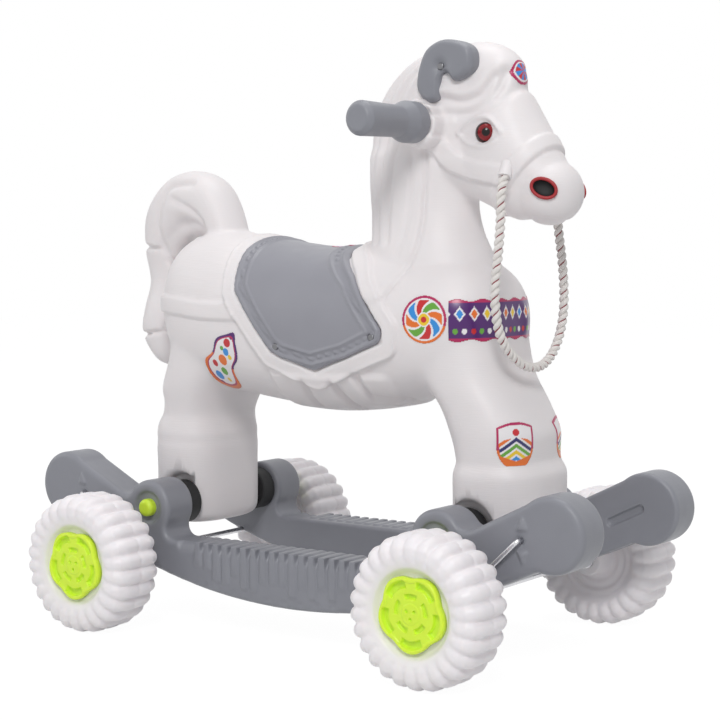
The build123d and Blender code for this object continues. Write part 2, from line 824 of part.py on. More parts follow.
def screw_rod(side, spot, radius, inner, outer):
    """A round bar along a screw's axis. inner and outer are measured from under its head."""
    x, z, seat = spot
    return rod(side, x, z, radius, seat + inner, seat + outer)


def saddle_spots():
    return [(side, spot) for _, side in SIDES for spot in SCREW_SPOTS]


def ear_spots():
    x, z, seat = EAR_SCREW
    return [(side, (x, z, seat)) for _, side in SIDES]


def backings():
    """The solid places kept behind pockets, sockets, eyelets and screw holes."""
    with BuildPart() as made:
        for _, side in SIDES:
            for _, end in ENDS:
                floor = POCKET_FLOOR_Y - SHELL_WALL
                add(rod(side, end * BOLT_X, BOLT_Z, POCKET_RADIUS + SHELL_WALL, floor, STUMP_WIDTH))
            add(rod(side, EYE_X, EYE_Z, EYE_RADIUS + SHELL_WALL, EYE_FLOOR_Y - 4, 60))
            add(nostril_block(side, SHELL_WALL, -NOSTRIL_DEPTH - SHELL_WALL, 12))
            add(eyelet_rod(side, EYELET_RADIUS + SHELL_WALL, -EYELET_LENGTH - 4, 0))
        for side, spot in saddle_spots() + ear_spots():
            add(screw_rod(side, spot, SCREW_RADIUS + SHELL_WALL, -SCREW_LENGTH - 3, 10))
    return made.part


def hollow():
    """The space inside the shell, less the backing of pockets, sockets and screw holes."""
    with BuildPart() as made:
        for stations in all_stations():
            add(cavity(stations, SHELL_WALL))
        add(backings(), mode=Mode.SUBTRACT)
    return made.part


def shell_cuts():
    """The pockets, sockets and holes in the horse's surface."""
    with BuildPart() as made:
        for _, side in SIDES:
            for _, end in ENDS:
                place = (side, end * BOLT_X, BOLT_Z)
                add(rod(*place, POCKET_RADIUS, POCKET_FLOOR_Y, STUMP_WIDTH))
                add(rod(*place, BOLT_RADIUS + FIT, 0, POCKET_FLOOR_Y + 1))
            add(rod(side, HANDLE_X, HANDLE_Z, HANDLE_BAR_RADIUS + FIT, 0, GRIP_START))
            add(rod(side, EYE_X, EYE_Z, EYE_RADIUS + GAP, EYE_FLOOR_Y, 60))
            add(nostril_block(side, 0, -NOSTRIL_DEPTH, 12))
            add(eyelet_rod(side, EYELET_RADIUS + FIT, -EYELET_LENGTH - GAP, 10))
        for side, spot in saddle_spots() + ear_spots():
            add(screw_rod(side, spot, SCREW_RADIUS + FIT, -SCREW_LENGTH, 10))
    return made.part


def skirt():
    """The raised border on the body round the saddle."""
    with BuildPart() as made:
        add(form(torso_stations(), SKIRT_HEIGHT))
        add(saddle_prism(SKIRT_WIDTH), mode=Mode.INTERSECT)
        add(saddle_prism(GAP), mode=Mode.SUBTRACT)
    return made.part


def horse_shell():
    boss_inner = HEAD_WIDTH / 2 - 8
    pieces = [form(stations) for stations in all_stations()] + [skirt()]
    for _, side in SIDES:
        pieces.append(rod(side, HANDLE_X, HANDLE_Z, BOSS_OUTER_RADIUS, boss_inner, GRIP_START - GAP))
        pieces.append(eyelet_rod(side, EYELET_RADIUS + SHELL_WALL, -EYELET_LENGTH - 4, -7))
    with BuildPart() as made:
        add(pieces)
        add(hollow(), mode=Mode.SUBTRACT)
        add(shell_cuts(), mode=Mode.SUBTRACT)
    return made.part


def saddle():
    with BuildPart() as made:
        add(form(torso_stations(), GAP + SADDLE_THICKNESS))
        add(saddle_prism(0), mode=Mode.INTERSECT)
        add(form(torso_stations(), GAP), mode=Mode.SUBTRACT)
        add(clear_neck, mode=Mode.SUBTRACT)
        for side, spot in saddle_spots():
            add(screw_rod(side, spot, SCREW_RADIUS + FIT, -10, 10), mode=Mode.SUBTRACT)
            add(screw_rod(side, spot, SCREW_HEAD_RADIUS + GAP, 0, 10), mode=Mode.SUBTRACT)
    return made.part


def screw(side, spot):
    """A screw with a domed head, standing in a flat seat."""
    with BuildPart() as made:
        add(screw_rod(side, spot, SCREW_HEAD_RADIUS, 0, 2.4))
        fillet(made.faces().sort_by(Axis.Y)[-1 if side > 0 else 0].edges(), 1.4)
        add(screw_rod(side, spot, SCREW_RADIUS, -SCREW_LENGTH + 1, 1))
    return made.part


def ear(side):
    """A curled ear on one side of the head, cut to fit the head's surface."""
    outline = [
        (157, 620), (139, 610), (124.5, 593), (121, 581.5), (126, 568), (135, 560), (145, 561),
        (146, 581), (150, 588), (159, 584), (168, 579), (178.5, 583), (187, 595), (184.5, 611.5),
        (173, 618),
    ]
    with BuildPart() as made:
        with BuildSketch(Plane.XZ.offset(EAR_INNER)):
            with BuildLine():
                Polyline(*outline, outline[0])
            make_face()
            offset(amount=-3)
            offset(amount=3)
        extrude(amount=EAR_OUTER - EAR_INNER)
        fillet(made.faces().sort_by(Axis.Y)[0].edges(), 3)
        add(clear_neck, mode=Mode.SUBTRACT)
        add(clear_head, mode=Mode.SUBTRACT)
        add(screw_rod(-1, EAR_SCREW, SCREW_RADIUS + FIT, -20, 10), mode=Mode.SUBTRACT)
        add(screw_rod(-1, EAR_SCREW, SCREW_HEAD_RADIUS + GAP, 0, 10), mode=Mode.SUBTRACT)
    if side < 0:
        return made.part
    return made.part.mirror(Plane.XZ)


def eye(side):
    with BuildPart() as made:
        add(rod(side, EYE_X, EYE_Z, EYE_RADIUS, EYE_FLOOR_Y + GAP, EYE_FLOOR_Y + 7))
        fillet(made.faces().sort_by(Axis.Y)[-1 if side > 0 else 0].edges(), 3.5)
        cut = rod(side, EYE_X, EYE_Z, PUPIL_RADIUS + FIT, EYE_FLOOR_Y + 4, EYE_FLOOR_Y + 9)
        add(cut, mode=Mode.SUBTRACT)
    return made.part


def nostril_cup(side):
    with BuildPart() as made:
        add(nostril_block(side, -3 - FIT, -NOSTRIL_DEPTH + GAP, -0.5))
        add(nostril_block(side, -5, -NOSTRIL_DEPTH + 2, 5), mode=Mode.SUBTRACT)
    return made.part


def nostril_rim(side):
    with BuildPart() as made:
        add(nostril_block(side, -GAP, -NOSTRIL_DEPTH + GAP, 1.6))
        add(nostril_block(side, -3, -NOSTRIL_DEPTH, 5), mode=Mode.SUBTRACT)
        fillet(made.faces().sort_by(Axis.Y)[-1 if side > 0 else 0].edges(), 0.8)
    return made.part


def grip(side):
    """A handle grip about the handle's axis, with its flange towards the neck."""
    start = GRIP_START
    end = HANDLE_SPAN / 2
    bar_end = end - 8
    profile = [
        (HANDLE_BAR_RADIUS + FIT, start),
        (GRIP_FLANGE_RADIUS - 2, start),
        (GRIP_FLANGE_RADIUS, start + 2),
        (GRIP_FLANGE_RADIUS, start + 18),
        (GRIP_FLANGE_RADIUS - 1.5, start + 22),
        (GRIP_RADIUS - 0.5, start + 33),
        (GRIP_RADIUS + 0.8, end - 6),
        (GRIP_RADIUS - 4, end),
        (0, end),
        (0, bar_end + GAP),
        (HANDLE_BAR_RADIUS + FIT, bar_end + GAP),
    ]
    with BuildPart() as made:
        with BuildSketch(Plane(origin=(HANDLE_X, 0, HANDLE_Z), x_dir=(1, 0, 0), z_dir=(0, 0, -side))):
            with BuildLine():
                Polyline(*[(radius, y) for radius, y in profile], profile[0])
            make_face()
        revolve(axis=Axis((HANDLE_X, 0, HANDLE_Z), (0, 1, 0)))
    return made.part


def bend_radii(points):
    """The radius of each bend, so that two neighbouring arcs leave a straight run between them."""
    radii = []
    for before, here, after in zip(points, points[1:], points[2:]):
        first = Vector(*here) - Vector(*before)
        second = Vector(*after) - Vector(*here)
        half_turn = radians(first.get_angle(second)) / 2
        radii.append(0.45 * min(first.length, second.length) / tan(half_turn))
    return radii


def rein_rope():
    end, out = rope_end(-1)
    radii = bend_radii(ROPE_POINTS)
    print("rope radii", [round(radius, 1) for radius in radii])
    with BuildPart() as made:
        with BuildLine() as path:
            FilletPolyline(*ROPE_POINTS, radius=radii)
        with BuildSketch(Plane(origin=end, z_dir=out)):
            Circle(ROPE_RADIUS)
        sweep()
    length = path.wires()[0].length
    share = made.part.volume / (pi * ROPE_RADIUS**2 * length)
    print("rope length", round(length, 1), "volume share", round(share, 4))
    return made.part


clear_neck = form(neck_stations(), GAP)
clear_head = form(head_stations(), GAP)

save(horse_shell(), "horse_shell")
save(saddle(), "saddle")
with BuildPart() as saddle_screws:
    for side, spot in saddle_spots():
        add(screw(side, spot))
save(saddle_screws.part, "saddle_screws")
with BuildPart() as ear_screws:
    for side, spot in ear_spots():
        add(screw(side, spot))
save(ear_screws.part, "ear_screws")
for side_name, side in SIDES:
    save(ear(side), "ear_" + side_name)
    save(eye(side), "eye_" + side_name)
    save(grip(side), "grip_" + side_name)
with BuildPart() as pupils:
    for _, side in SIDES:
        add(rod(side, EYE_X, EYE_Z, PUPIL_RADIUS, EYE_FLOOR_Y + 4 + GAP, EYE_FLOOR_Y + 7.6))
save(pupils.part, "pupils")
with BuildPart() as nostril_cups:
    for _, side in SIDES:
        add(nostril_cup(side))
save(nostril_cups.part, "nostril_cups")
with BuildPart() as nostril_rims:
    for _, side in SIDES:
        add(nostril_rim(side))
save(nostril_rims.part, "nostril_rims")
bar_half = HANDLE_SPAN / 2 - 8
save(rod(1, HANDLE_X, HANDLE_Z, HANDLE_BAR_RADIUS, -bar_half, bar_half), "handle_bar")
save(rein_rope(), "rein_rope")
with BuildPart() as rein_eyelets:
    for _, side in SIDES:
        add(eyelet_rod(side, EYELET_RADIUS, -EYELET_LENGTH, 0))
save(rein_eyelets.part, "rein_eyelets")
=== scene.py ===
from math import atan2, cos, hypot, pi, radians, sin

import bmesh
import bpy
import numpy as np
from mathutils import Matrix, Vector
from mathutils.bvhtree import BVHTree


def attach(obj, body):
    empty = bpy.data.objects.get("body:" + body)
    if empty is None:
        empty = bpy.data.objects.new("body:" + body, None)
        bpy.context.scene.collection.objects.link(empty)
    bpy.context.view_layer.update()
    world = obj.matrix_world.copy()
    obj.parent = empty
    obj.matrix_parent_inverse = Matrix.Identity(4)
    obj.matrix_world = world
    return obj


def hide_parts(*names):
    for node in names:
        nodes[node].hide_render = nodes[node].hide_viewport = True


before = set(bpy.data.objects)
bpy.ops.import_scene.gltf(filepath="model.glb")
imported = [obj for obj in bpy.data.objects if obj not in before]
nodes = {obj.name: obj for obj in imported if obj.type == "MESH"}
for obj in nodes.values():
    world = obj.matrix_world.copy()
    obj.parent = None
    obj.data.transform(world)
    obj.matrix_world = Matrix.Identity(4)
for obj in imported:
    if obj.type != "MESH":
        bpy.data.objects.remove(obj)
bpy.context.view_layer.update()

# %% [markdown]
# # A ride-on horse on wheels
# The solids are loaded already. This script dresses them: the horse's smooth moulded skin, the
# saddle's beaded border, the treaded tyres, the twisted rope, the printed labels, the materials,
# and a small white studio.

MM = 0.001
SIDES = (("right", -1), ("left", 1))
ENDS = (("front", 1), ("rear", -1))

# %% [markdown]
# ## Camera
# The camera stands in front of the horse's right side, a little above its back. It could be aimed
# at a point with a constraint, but three angles and a place are exact and easy to read back.

# %% Camera
CAMERA_PLACE = Vector((1.13137, -1.51260, 0.42164))
CAMERA_TURN = 36.425
CAMERA_RISE = 3.961
CAMERA_ROLL = -0.483
LENS = 87.41


def camera_matrix(place, turn, rise, roll):
    """A camera at place that looks back along the given turn and rise, in degrees."""
    a, e = radians(turn), radians(rise)
    back = Vector((sin(a) * cos(e), -cos(a) * cos(e), sin(e)))
    right = Vector((cos(a), sin(a), 0))
    up = back.cross(right)
    r = radians(roll)
    right, up = cos(r) * right + sin(r) * up, cos(r) * up - sin(r) * right
    matrix = Matrix((right, up, back)).transposed().to_4x4()
    matrix.translation = place
    return matrix


camera_data = bpy.data.cameras.new("photo_camera")
camera_data.lens = LENS
camera_data.sensor_width = 36
camera_data.clip_end = 50
camera = bpy.data.objects.new("photo_camera", camera_data)
camera.matrix_world = camera_matrix(CAMERA_PLACE, CAMERA_TURN, CAMERA_RISE, CAMERA_ROLL)
bpy.context.collection.objects.link(camera)
bpy.context.scene.camera = camera
print("camera at", tuple(CAMERA_PLACE))

# %% [markdown]
# ## Materials
# Nearly everything here is moulded plastic, and the rest is drawn wire, screws and rope. Each could
# have nodes of its own, but they share the same small flaws: patches of a slightly other tone, an
# uneven gloss, fine pebbles and thin level lines. One shader group makes those flaws from Object
# coordinates, and each material gives the group its own values.

# %% The shared surface group


def new_material(name):
    material = bpy.data.materials.new(name)
    material.use_nodes = True
    return material, material.node_tree.nodes, material.node_tree.links


def moulded_surface_group():
    """What every surface here shares: mottled colour, uneven gloss, fine pebbles and level lines."""
    group = bpy.data.node_groups.new("moulded_surface", "ShaderNodeTree")
    for name, kind, start in (
        ("Place", "NodeSocketVector", None), ("Colour", "NodeSocketColor", None),
        ("Mottle", "NodeSocketFloat", 0.05), ("Mottle scale", "NodeSocketFloat", 16.0),
        ("Roughness", "NodeSocketFloat", 0.45), ("Unevenness", "NodeSocketFloat", 0.15),
        ("Pebbles", "NodeSocketFloat", 0.2), ("Pebble scale", "NodeSocketFloat", 900.0),
        ("Lines", "NodeSocketFloat", 0.0),
    ):
        socket = group.interface.new_socket(name, in_out="INPUT", socket_type=kind)
        if start is not None:
            socket.default_value = start
    group.interface.new_socket("Colour", in_out="OUTPUT", socket_type="NodeSocketColor")
    group.interface.new_socket("Roughness", in_out="OUTPUT", socket_type="NodeSocketFloat")
    group.interface.new_socket("Height", in_out="OUTPUT", socket_type="NodeSocketFloat")
    tree, links = group.nodes, group.links
    given = tree.new("NodeGroupInput")
    result = tree.new("NodeGroupOutput")

    def noise(vector, detail, scale=None):
        made = tree.new("ShaderNodeTexNoise")
        made.inputs["Detail"].default_value = detail
        made.inputs["Scale"].default_value = 1
        links.new(vector, made.inputs["Vector"])
        if scale:
            links.new(given.outputs[scale], made.inputs["Scale"])
        return made.outputs["Fac"]

    def sum_of(value, factor, added):
        made = tree.new("ShaderNodeMath")
        made.operation = "MULTIPLY_ADD"
        for socket, source in zip(made.inputs, (value, factor, added)):
            if isinstance(source, float):
                socket.default_value = source
            else:
                links.new(source, socket)
        return made.outputs["Value"]

    patch = sum_of(noise(given.outputs["Place"], 4, "Mottle scale"), 2.0, -1.0)
    brightness = sum_of(patch, given.outputs["Mottle"], 1.0)
    tone = tree.new("ShaderNodeHueSaturation")
    links.new(given.outputs["Colour"], tone.inputs["Color"])
    links.new(brightness, tone.inputs["Value"])
    links.new(tone.outputs["Color"], result.inputs["Colour"])
    smear = tree.new("ShaderNodeMapping")
    smear.inputs["Scale"].default_value = (55, 80, 40)
    links.new(given.outputs["Place"], smear.inputs["Vector"])
    wear = sum_of(noise(smear.outputs["Vector"], 5), 2.0, -1.0)
    gloss = sum_of(wear, given.outputs["Unevenness"], given.outputs["Roughness"])
    links.new(gloss, result.inputs["Roughness"])
    layers = tree.new("ShaderNodeMapping")
    layers.inputs["Scale"].default_value = (60, 60, 900)
    links.new(given.outputs["Place"], layers.inputs["Vector"])
    pebbles = sum_of(noise(given.outputs["Place"], 2, "Pebble scale"), given.outputs["Pebbles"], 0.0)
    relief = sum_of(noise(layers.outputs["Vector"], 3), given.outputs["Lines"], pebbles)
    links.new(relief, result.inputs["Height"])
    return group


SURFACE = moulded_surface_group()
print("surface group", len(SURFACE.nodes), "nodes")

# %% Plastics and metals

def finish_with(name, colour, roughness=0.45, relief=0.0004, **values):
    """A Principled material that reads the shared surface group. values name the group's inputs."""
    material, tree, links = new_material(name)
    shader = tree["Principled BSDF"]
    place = tree.new("ShaderNodeTexCoord")
    surface = tree.new("ShaderNodeGroup")
    surface.node_tree = SURFACE
    surface.inputs["Colour"].default_value = (*colour, 1)
    surface.inputs["Roughness"].default_value = roughness
    for value_name, value in values.items():
        surface.inputs[value_name.replace("_", " ").capitalize()].default_value = value
    links.new(place.outputs["Object"], surface.inputs["Place"])
    links.new(surface.outputs["Colour"], shader.inputs["Base Color"])
    links.new(surface.outputs["Roughness"], shader.inputs["Roughness"])
    bump = tree.new("ShaderNodeBump")
    bump.inputs["Strength"].default_value = 1
    bump.inputs["Distance"].default_value = relief
    links.new(surface.outputs["Height"], bump.inputs["Height"])
    links.new(bump.outputs["Normal"], shader.inputs["Normal"])
    return material


def waxy(material, weight):
    """Lets light into a material a little way, as thin polyethylene does."""
    shader = material.node_tree.nodes["Principled BSDF"]
    shader.inputs["Subsurface Weight"].default_value = weight
    shader.inputs["Subsurface Radius"].default_value = (0.01, 0.008, 0.007)
    shader.inputs["Subsurface Scale"].default_value = 1.0
    return material


def metal(name, colour, roughness, **values):
    material = finish_with(name, colour, roughness, 0.0001, **values)
    material.node_tree.nodes["Principled BSDF"].inputs["Metallic"].default_value = 1
    return material


white_skin = waxy(
    finish_with("white_skin", (0.84, 0.80, 0.805), 0.48, mottle=0.025, pebbles=0.05, lines=0.45), 0.12,
)
white_wheel = waxy(finish_with("white_wheel", (0.92, 0.88, 0.90), 0.42, mottle=0.03, pebbles=0.15), 0.15)
grey = finish_with("grey_plastic", (0.25, 0.255, 0.285), 0.42, mottle=0.10, pebbles=0.3)
grey_saddle = finish_with("grey_saddle", (0.29, 0.29, 0.325), 0.42, mottle=0.07, pebbles=0.22)
lime = waxy(finish_with("lime_plastic", (0.72, 1.0, 0.05), 0.4, mottle=0.05, pebbles=0.08), 0.3)
black = finish_with("black_plastic", (0.010, 0.010, 0.011), 0.7, mottle=0.3)
rim_red = finish_with("rim_red", (0.36, 0.015, 0.02), 0.5, mottle=0.15, pebbles=0.1)
steel = metal("zinc_steel", (0.66, 0.66, 0.68), 0.28, mottle=0.12, mottle_scale=120, lines=0.3)
screw_steel = metal("screw_steel", (0.20, 0.20, 0.21), 0.4, mottle=0.2, mottle_scale=200)
print("materials", len(bpy.data.materials))

# %% [markdown]
# ## Paint
# The solids come with plain slots. The ones that keep their shape, such as wires, screws, bushes and
# caps, only need a finish, so a short list of names chooses it.

# %% Paint the solids that keep their own shape


def paint(node, material):
    mesh_object = nodes[node]
    for slot in mesh_object.material_slots:
        slot.material = material
    if not mesh_object.material_slots:
        mesh_object.data.materials.append(material)


for node in nodes:
    if node.startswith(("rocker_", "ear_right", "ear_left", "grip_")):
        paint(node, grey)
    elif node.startswith(("hub_plate_", "bolt_caps")):
        paint(node, lime)
    elif node.endswith("leg_bushes") or node.startswith(("wheel_bush_", "nostril_cups", "eye_", "pupils")):
        paint(node, black)
    elif node == "nostril_rims":
        paint(node, rim_red)
    elif node.startswith("tyre_"):
        paint(node, white_wheel)
    elif node in ("horse_shell", "rein_eyelets"):
        paint(node, white_skin)
    elif node == "saddle":
        paint(node, grey_saddle)
    elif node in ("saddle_screws", "ear_screws"):
        paint(node, screw_steel)
    elif node != "rein_rope":
        paint(node, steel)
print("painted", len(nodes))

# %% [markdown]
# ## Building blocks
# Every form of the horse is a skin over a row of stations. A station is a centre, the direction of
# the form there, two half sizes and a power: 2 is an ellipse and more is squarer. Subdivided boxes
# could be pushed into the same shapes by eye, but stations keep every form at its measured size.

# %% Meshes from points


def add_object(name, vertices, faces, material=None, smooth=True):
    mesh = bpy.data.meshes.new(name)
    mesh.from_pydata([tuple(v) for v in vertices], [], [tuple(f) for f in faces])
    mesh.update()
    if smooth:
        mesh.shade_smooth()
    made = bpy.data.objects.new(name, mesh)
    bpy.context.collection.objects.link(made)
    if material:
        mesh.materials.append(material)
    return made


def tube_skin(rings):
    """Vertices and faces of a closed skin over rings of equal length, with a point at each end."""
    count = len(rings[0])
    vertices = [point for ring in rings for point in ring]
    faces = []
    for row in range(len(rings) - 1):
        for step in range(count):
            nxt = (step + 1) % count
            low, high = row * count, (row + 1) * count
            faces.append((low + step, low + nxt, high + nxt, high + step))
    for row, turned in ((0, True), (len(rings) - 1, False)):
        centre = sum((Vector(point) for point in rings[row]), Vector()) / count
        vertices.append(centre)
        for step in range(count):
            corner = (row * count + step, row * count + (step + 1) % count, len(vertices) - 1)
            faces.append(corner[::-1] if turned else corner)
    return vertices, faces


def blend_rows(rows, steps=5):
    """Rows of numbers with more rows between them, on a smooth curve through all of them."""
    data = [np.array(rows[0])] + [np.array(row) for row in rows] + [np.array(rows[-1])]
    out = []
    for before, first, second, after in zip(data, data[1:], data[2:], data[3:]):
        for step in range(steps):
            t = step / steps
            out.append(
                0.5 * (
                    2 * first + (second - before) * t
                    + (2 * before - 5 * first + 4 * second - after) * t**2
                    + (3 * first - before - 3 * second + after) * t**3
                )
            )
    out.append(np.array(rows[-1]))
    return out


def form(rows, count=48):
    """A closed skin. A row is x, y, z, direction x, y, z, half size across, half size up, power."""
    rings = []
    for x, y, z, dx, dy, dz, half_u, half_v, power in blend_rows(rows):
        along = Vector((dx, dy, dz)).normalized()
        across = Vector((1, 0, 0)) if abs(along.z) > 0.99 else Vector((0, 1, 0))
        across = (across - along * across.dot(along)).normalized()
        up = along.cross(across)
        ring = []
        for step in range(count):
            turn = 2 * pi * step / count
            u = abs(cos(turn)) ** (2 / power) * (half_u if cos(turn) > 0 else -half_u)
            v = abs(sin(turn)) ** (2 / power) * (half_v if sin(turn) > 0 else -half_v)
            ring.append((Vector((x, y, z)) + across * u + up * v) * MM)
        rings.append(ring)
    return tube_skin(rings)


def ball(centre, radii, rise=0.0):
    """A closed ellipsoid, turned about the Y axis by rise degrees."""
    rings = []
    turn = Matrix.Rotation(radians(-rise), 3, "Y")
    for row in range(1, 24):
        lat = -pi / 2 + pi * row / 24
        ring = []
        for step in range(48):
            lon = 2 * pi * step / 48
            point = Vector((
                sin(lat) * radii[0], cos(lat) * cos(lon) * radii[1], cos(lat) * sin(lon) * radii[2],
            ))
            ring.append((Vector(centre) + turn @ point) * MM)
        rings.append(ring)
    return tube_skin(rings)


def disc_ring(x, y, z, radius, count=48):
    """Points of a circle that faces along Y."""
    turns = [2 * pi * s / count for s in range(count)]
    return [Vector((x + radius * cos(turn), y, z + radius * sin(turn))) * MM for turn in turns]


def rod_y(x, z, radius, inner, outer):
    """A closed round bar along Y, from y = inner to y = outer."""
    vertices, faces = tube_skin([disc_ring(x, y, z, radius) for y in (inner, outer)])
    if outer > inner:
        faces = [face[::-1] for face in faces]
    return vertices, faces


def joined(skins):
    """One list of vertices and one of faces from several skins."""
    vertices, faces = [], []
    for some, others in skins:
        start = len(vertices)
        vertices += list(some)
        faces += [tuple(index + start for index in face) for face in others]
    return vertices, faces


def apply_modifier(made, kind, **values):
    """Adds a modifier with the given settings and keeps its result as the mesh."""
    modifier = made.modifiers.new(kind.lower(), kind)
    for key, value in values.items():
        setattr(modifier, key, value)
    graph = bpy.context.evaluated_depsgraph_get()
    mesh = bpy.data.meshes.new_from_object(made.evaluated_get(graph), depsgraph=graph)
    made.modifiers.clear()
    made.data = mesh
    return made


def fused(name, skins, voxel, smoothing, material):
    """One smooth skin over overlapping closed skins."""
    vertices, faces = joined(skins)
    made = add_object(name, vertices, faces, material)
    apply_modifier(made, "REMESH", mode="VOXEL", voxel_size=voxel, use_smooth_shade=True)
    apply_modifier(made, "SMOOTH", factor=0.5, iterations=smoothing)
    made.data.shade_smooth()
    return made


def arrays(made):
    """The vertices and vertex normals of a mesh as arrays, in millimetres."""
    mesh = made.data
    places = np.empty(len(mesh.vertices) * 3)
    normals = np.empty(len(mesh.vertices) * 3)
    mesh.vertices.foreach_get("co", places)
    mesh.vertex_normals.foreach_get("vector", normals)
    return places.reshape(-1, 3) / MM, normals.reshape(-1, 3)


def move_out(made, places, normals, height):
    """Moves each vertex along its normal by its height, in millimetres."""
    moved = (places + normals * height[:, None]) * MM
    made.data.vertices.foreach_set("co", moved.reshape(-1))
    made.data.update()


print("building blocks ready")

# %% [markdown]
# ## The horse's skin
# The real skin is one blow-moulded shell with no sharp edge. It could be sculpted from one block.
# Here the torso, neck, stumps, head, muzzle, cheeks and tail are separate overlapping forms, because
# each can then be checked alone. One fine grid of cubes fuses them, and smoothing rounds the seams
# as the mould does.

# %% Forms of the horse
TORSO = [
    # x, lowest z, highest z, half width
    (-230, 326, 368, 22), (-222, 296, 400, 50), (-200, 272, 424, 71), (-160, 256, 433, 81),
    (-100, 248, 421, 85), (-45, 242, 412, 85), (5, 240, 409, 85), (55, 244, 412, 84),
    (110, 254, 412, 82), (160, 268, 404, 75), (190, 286, 388, 61), (207, 312, 360, 30),
]
NECK = [
    # z, back x, front x, half width
    (300, 60, 200, 62), (345, 52, 197, 64), (380, 47, 187, 60), (408, 45, 175, 54),
    (431, 45, 165, 48), (460, 43, 161, 44), (490, 42, 170, 43), (526, 42, 200, 42),
    (552, 47, 222, 41), (575, 60, 222, 40), (595, 80, 218, 36), (608, 102, 207, 29),
    (616, 128, 192, 18), (619, 146, 180, 8),
]
FRONT_STUMP = [
    # z, back x, front x, half width
    (103, 170, 238, 47), (106, 161, 247, 55), (114, 156, 252, 61), (135, 155, 253, 62),
    (163, 155, 253, 62), (183, 155, 253, 62), (191, 157, 250, 60.5), (200, 158, 246, 59),
    (212, 156, 246, 59.5), (228, 151, 245, 61), (253, 141, 232, 63), (283, 119, 214, 66),
    (318, 103, 206, 68),
]
REAR_STUMP = [
    (103, -234, -174, 47), (106, -242, -166, 55), (114, -246, -162, 61), (135, -247, -161, 62),
    (163, -247, -161, 62), (190, -248, -160, 62), (203, -248, -160, 61.5), (214, -246, -162, 60),
    (226, -239, -162, 58), (240, -236, -157, 60), (256, -237, -147, 64), (283, -227, -125, 68),
    (318, -216, -118, 70),
]
HEAD = [
    # top x and z, bottom x and z, half width
    (204, 592, 128, 478, 34), (222, 572, 154, 466, 40), (238, 545, 180, 456, 42),
    (254, 518, 204, 444, 38), (264, 500, 224, 438, 32), (270, 490, 240, 440, 28),
]
TAIL = [
    # spine x and z, half thickness, half width
    (-165, 414, 20, 26), (-176, 445, 22, 28), (-197, 466, 30, 31), (-229, 466, 33, 31),
    (-257, 443, 29, 28), (-266, 410, 20, 24), (-262, 376, 17, 22), (-263, 345, 26, 25),
    (-266, 318, 28, 26), (-257, 292, 20, 20), (-250, 281, 9, 10),
]
INNER_LOCK = [
    (-174, 422, 12, 15), (-189, 438, 14, 17), (-212, 442, 17, 18), (-236, 436, 18, 18),
    (-254, 414, 17, 18), (-257, 384, 16, 18), (-252, 352, 16, 18), (-247, 326, 10, 12),
]
TAIL_WEB = [
    (-238, 390, 6, 12), (-236, 374, 14, 17), (-237, 340, 17, 19), (-240, 310, 17, 18), (-243, 291, 10, 12),
]


def upright(rows, power):
    """Stations of a form that stands up, from rows of z, back x, front x and half width."""
    return [
        ((back + front) / 2, 0, z, 0, 0, 1, (front - back) / 2, half, power)
        for z, back, front, half in rows
    ]


def along_spine(rows, power):
    """Stations of a form that follows a bent middle line in the side view."""
    out = []
    for number, (x, z, thick, wide) in enumerate(rows):
        before = rows[max(number - 1, 0)]
        after = rows[min(number + 1, len(rows) - 1)]
        out.append((x, 0, z, after[0] - before[0], 0, after[1] - before[1], wide, thick, power))
    return out


torso_form = form([
    (x, 0, (low + high) / 2, 1, 0, 0, half, (high - low) / 2, 2.3) for x, low, high, half in TORSO
])
head_form = form([
    ((a + c) / 2, 0, (b + d) / 2, b - d, 0, c - a, half, hypot(a - c, b - d) / 2, 2.15)
    for a, b, c, d, half in HEAD
])
forms = [
    torso_form,
    form(upright(NECK, 2.15)),
    form(upright(FRONT_STUMP, 2.8)),
    form(upright(REAR_STUMP, 2.8)),
    head_form,
    form(along_spine(TAIL, 2.2)),
    ball((251, 0, 466.5), (33.5, 36.5, 33), -30),
    ball((232, 0, 476), (38, 34, 34), -30),
    form(along_spine(INNER_LOCK, 2.1)),
    form(along_spine(TAIL_WEB, 2.1)),
]
for _, side in SIDES:
    forms.append(rod_y(130, 537.5, 23.5, side * 30, side * 59.2))
    forms.append(ball((158, side * 8, 503), (34, 33, 32)))
skin = fused("horse_skin", forms, voxel=0.0020, smoothing=6, material=white_skin)
places, normals = arrays(skin)
blend_places = (
    # middle x, z and reach of a place where two forms meet, and the weight there
    (190, 385, 42, 1.0), (175, 425, 34, 1.0), (60, 405, 30, 1.0), (165, 300, 48, 1.0), (215, 300, 30, 1.0),
    (-165, 290, 55, 1.0), (-222, 300, 26, 0.8), (-172, 415, 22, 0.8), (120, 262, 34, 1.0),
    (-130, 262, 34, 1.0), (165, 478, 24, 0.7),
)
weight = np.zeros(len(places))
for spot_x, spot_z, reach, most in blend_places:
    gone = np.hypot(places[:, 0] - spot_x, places[:, 2] - spot_z)
    weight = np.maximum(weight, most * np.clip(1.6 - 1.6 * gone / reach, 0, 1))
group = skin.vertex_groups.new(name="meeting")
for level in range(1, 11):
    chosen = np.nonzero((weight > (level - 1) / 10) & (weight <= level / 10))[0]
    if len(chosen):
        group.add(chosen.tolist(), level / 10, "REPLACE")
apply_modifier(skin, "SMOOTH", factor=0.5, iterations=90, vertex_group="meeting")
print("horse skin", len(skin.data.vertices), "vertices")

# %% [markdown]
# ## Relief
# The straps, the skirt, the mane and the folds are part of the mould. They could be cut as separate
# pieces, but then their feet would show seams. Here they are heights added along the skin's normals,
# and each one follows a line drawn in the side view.

# %% Lines and bands in the side view


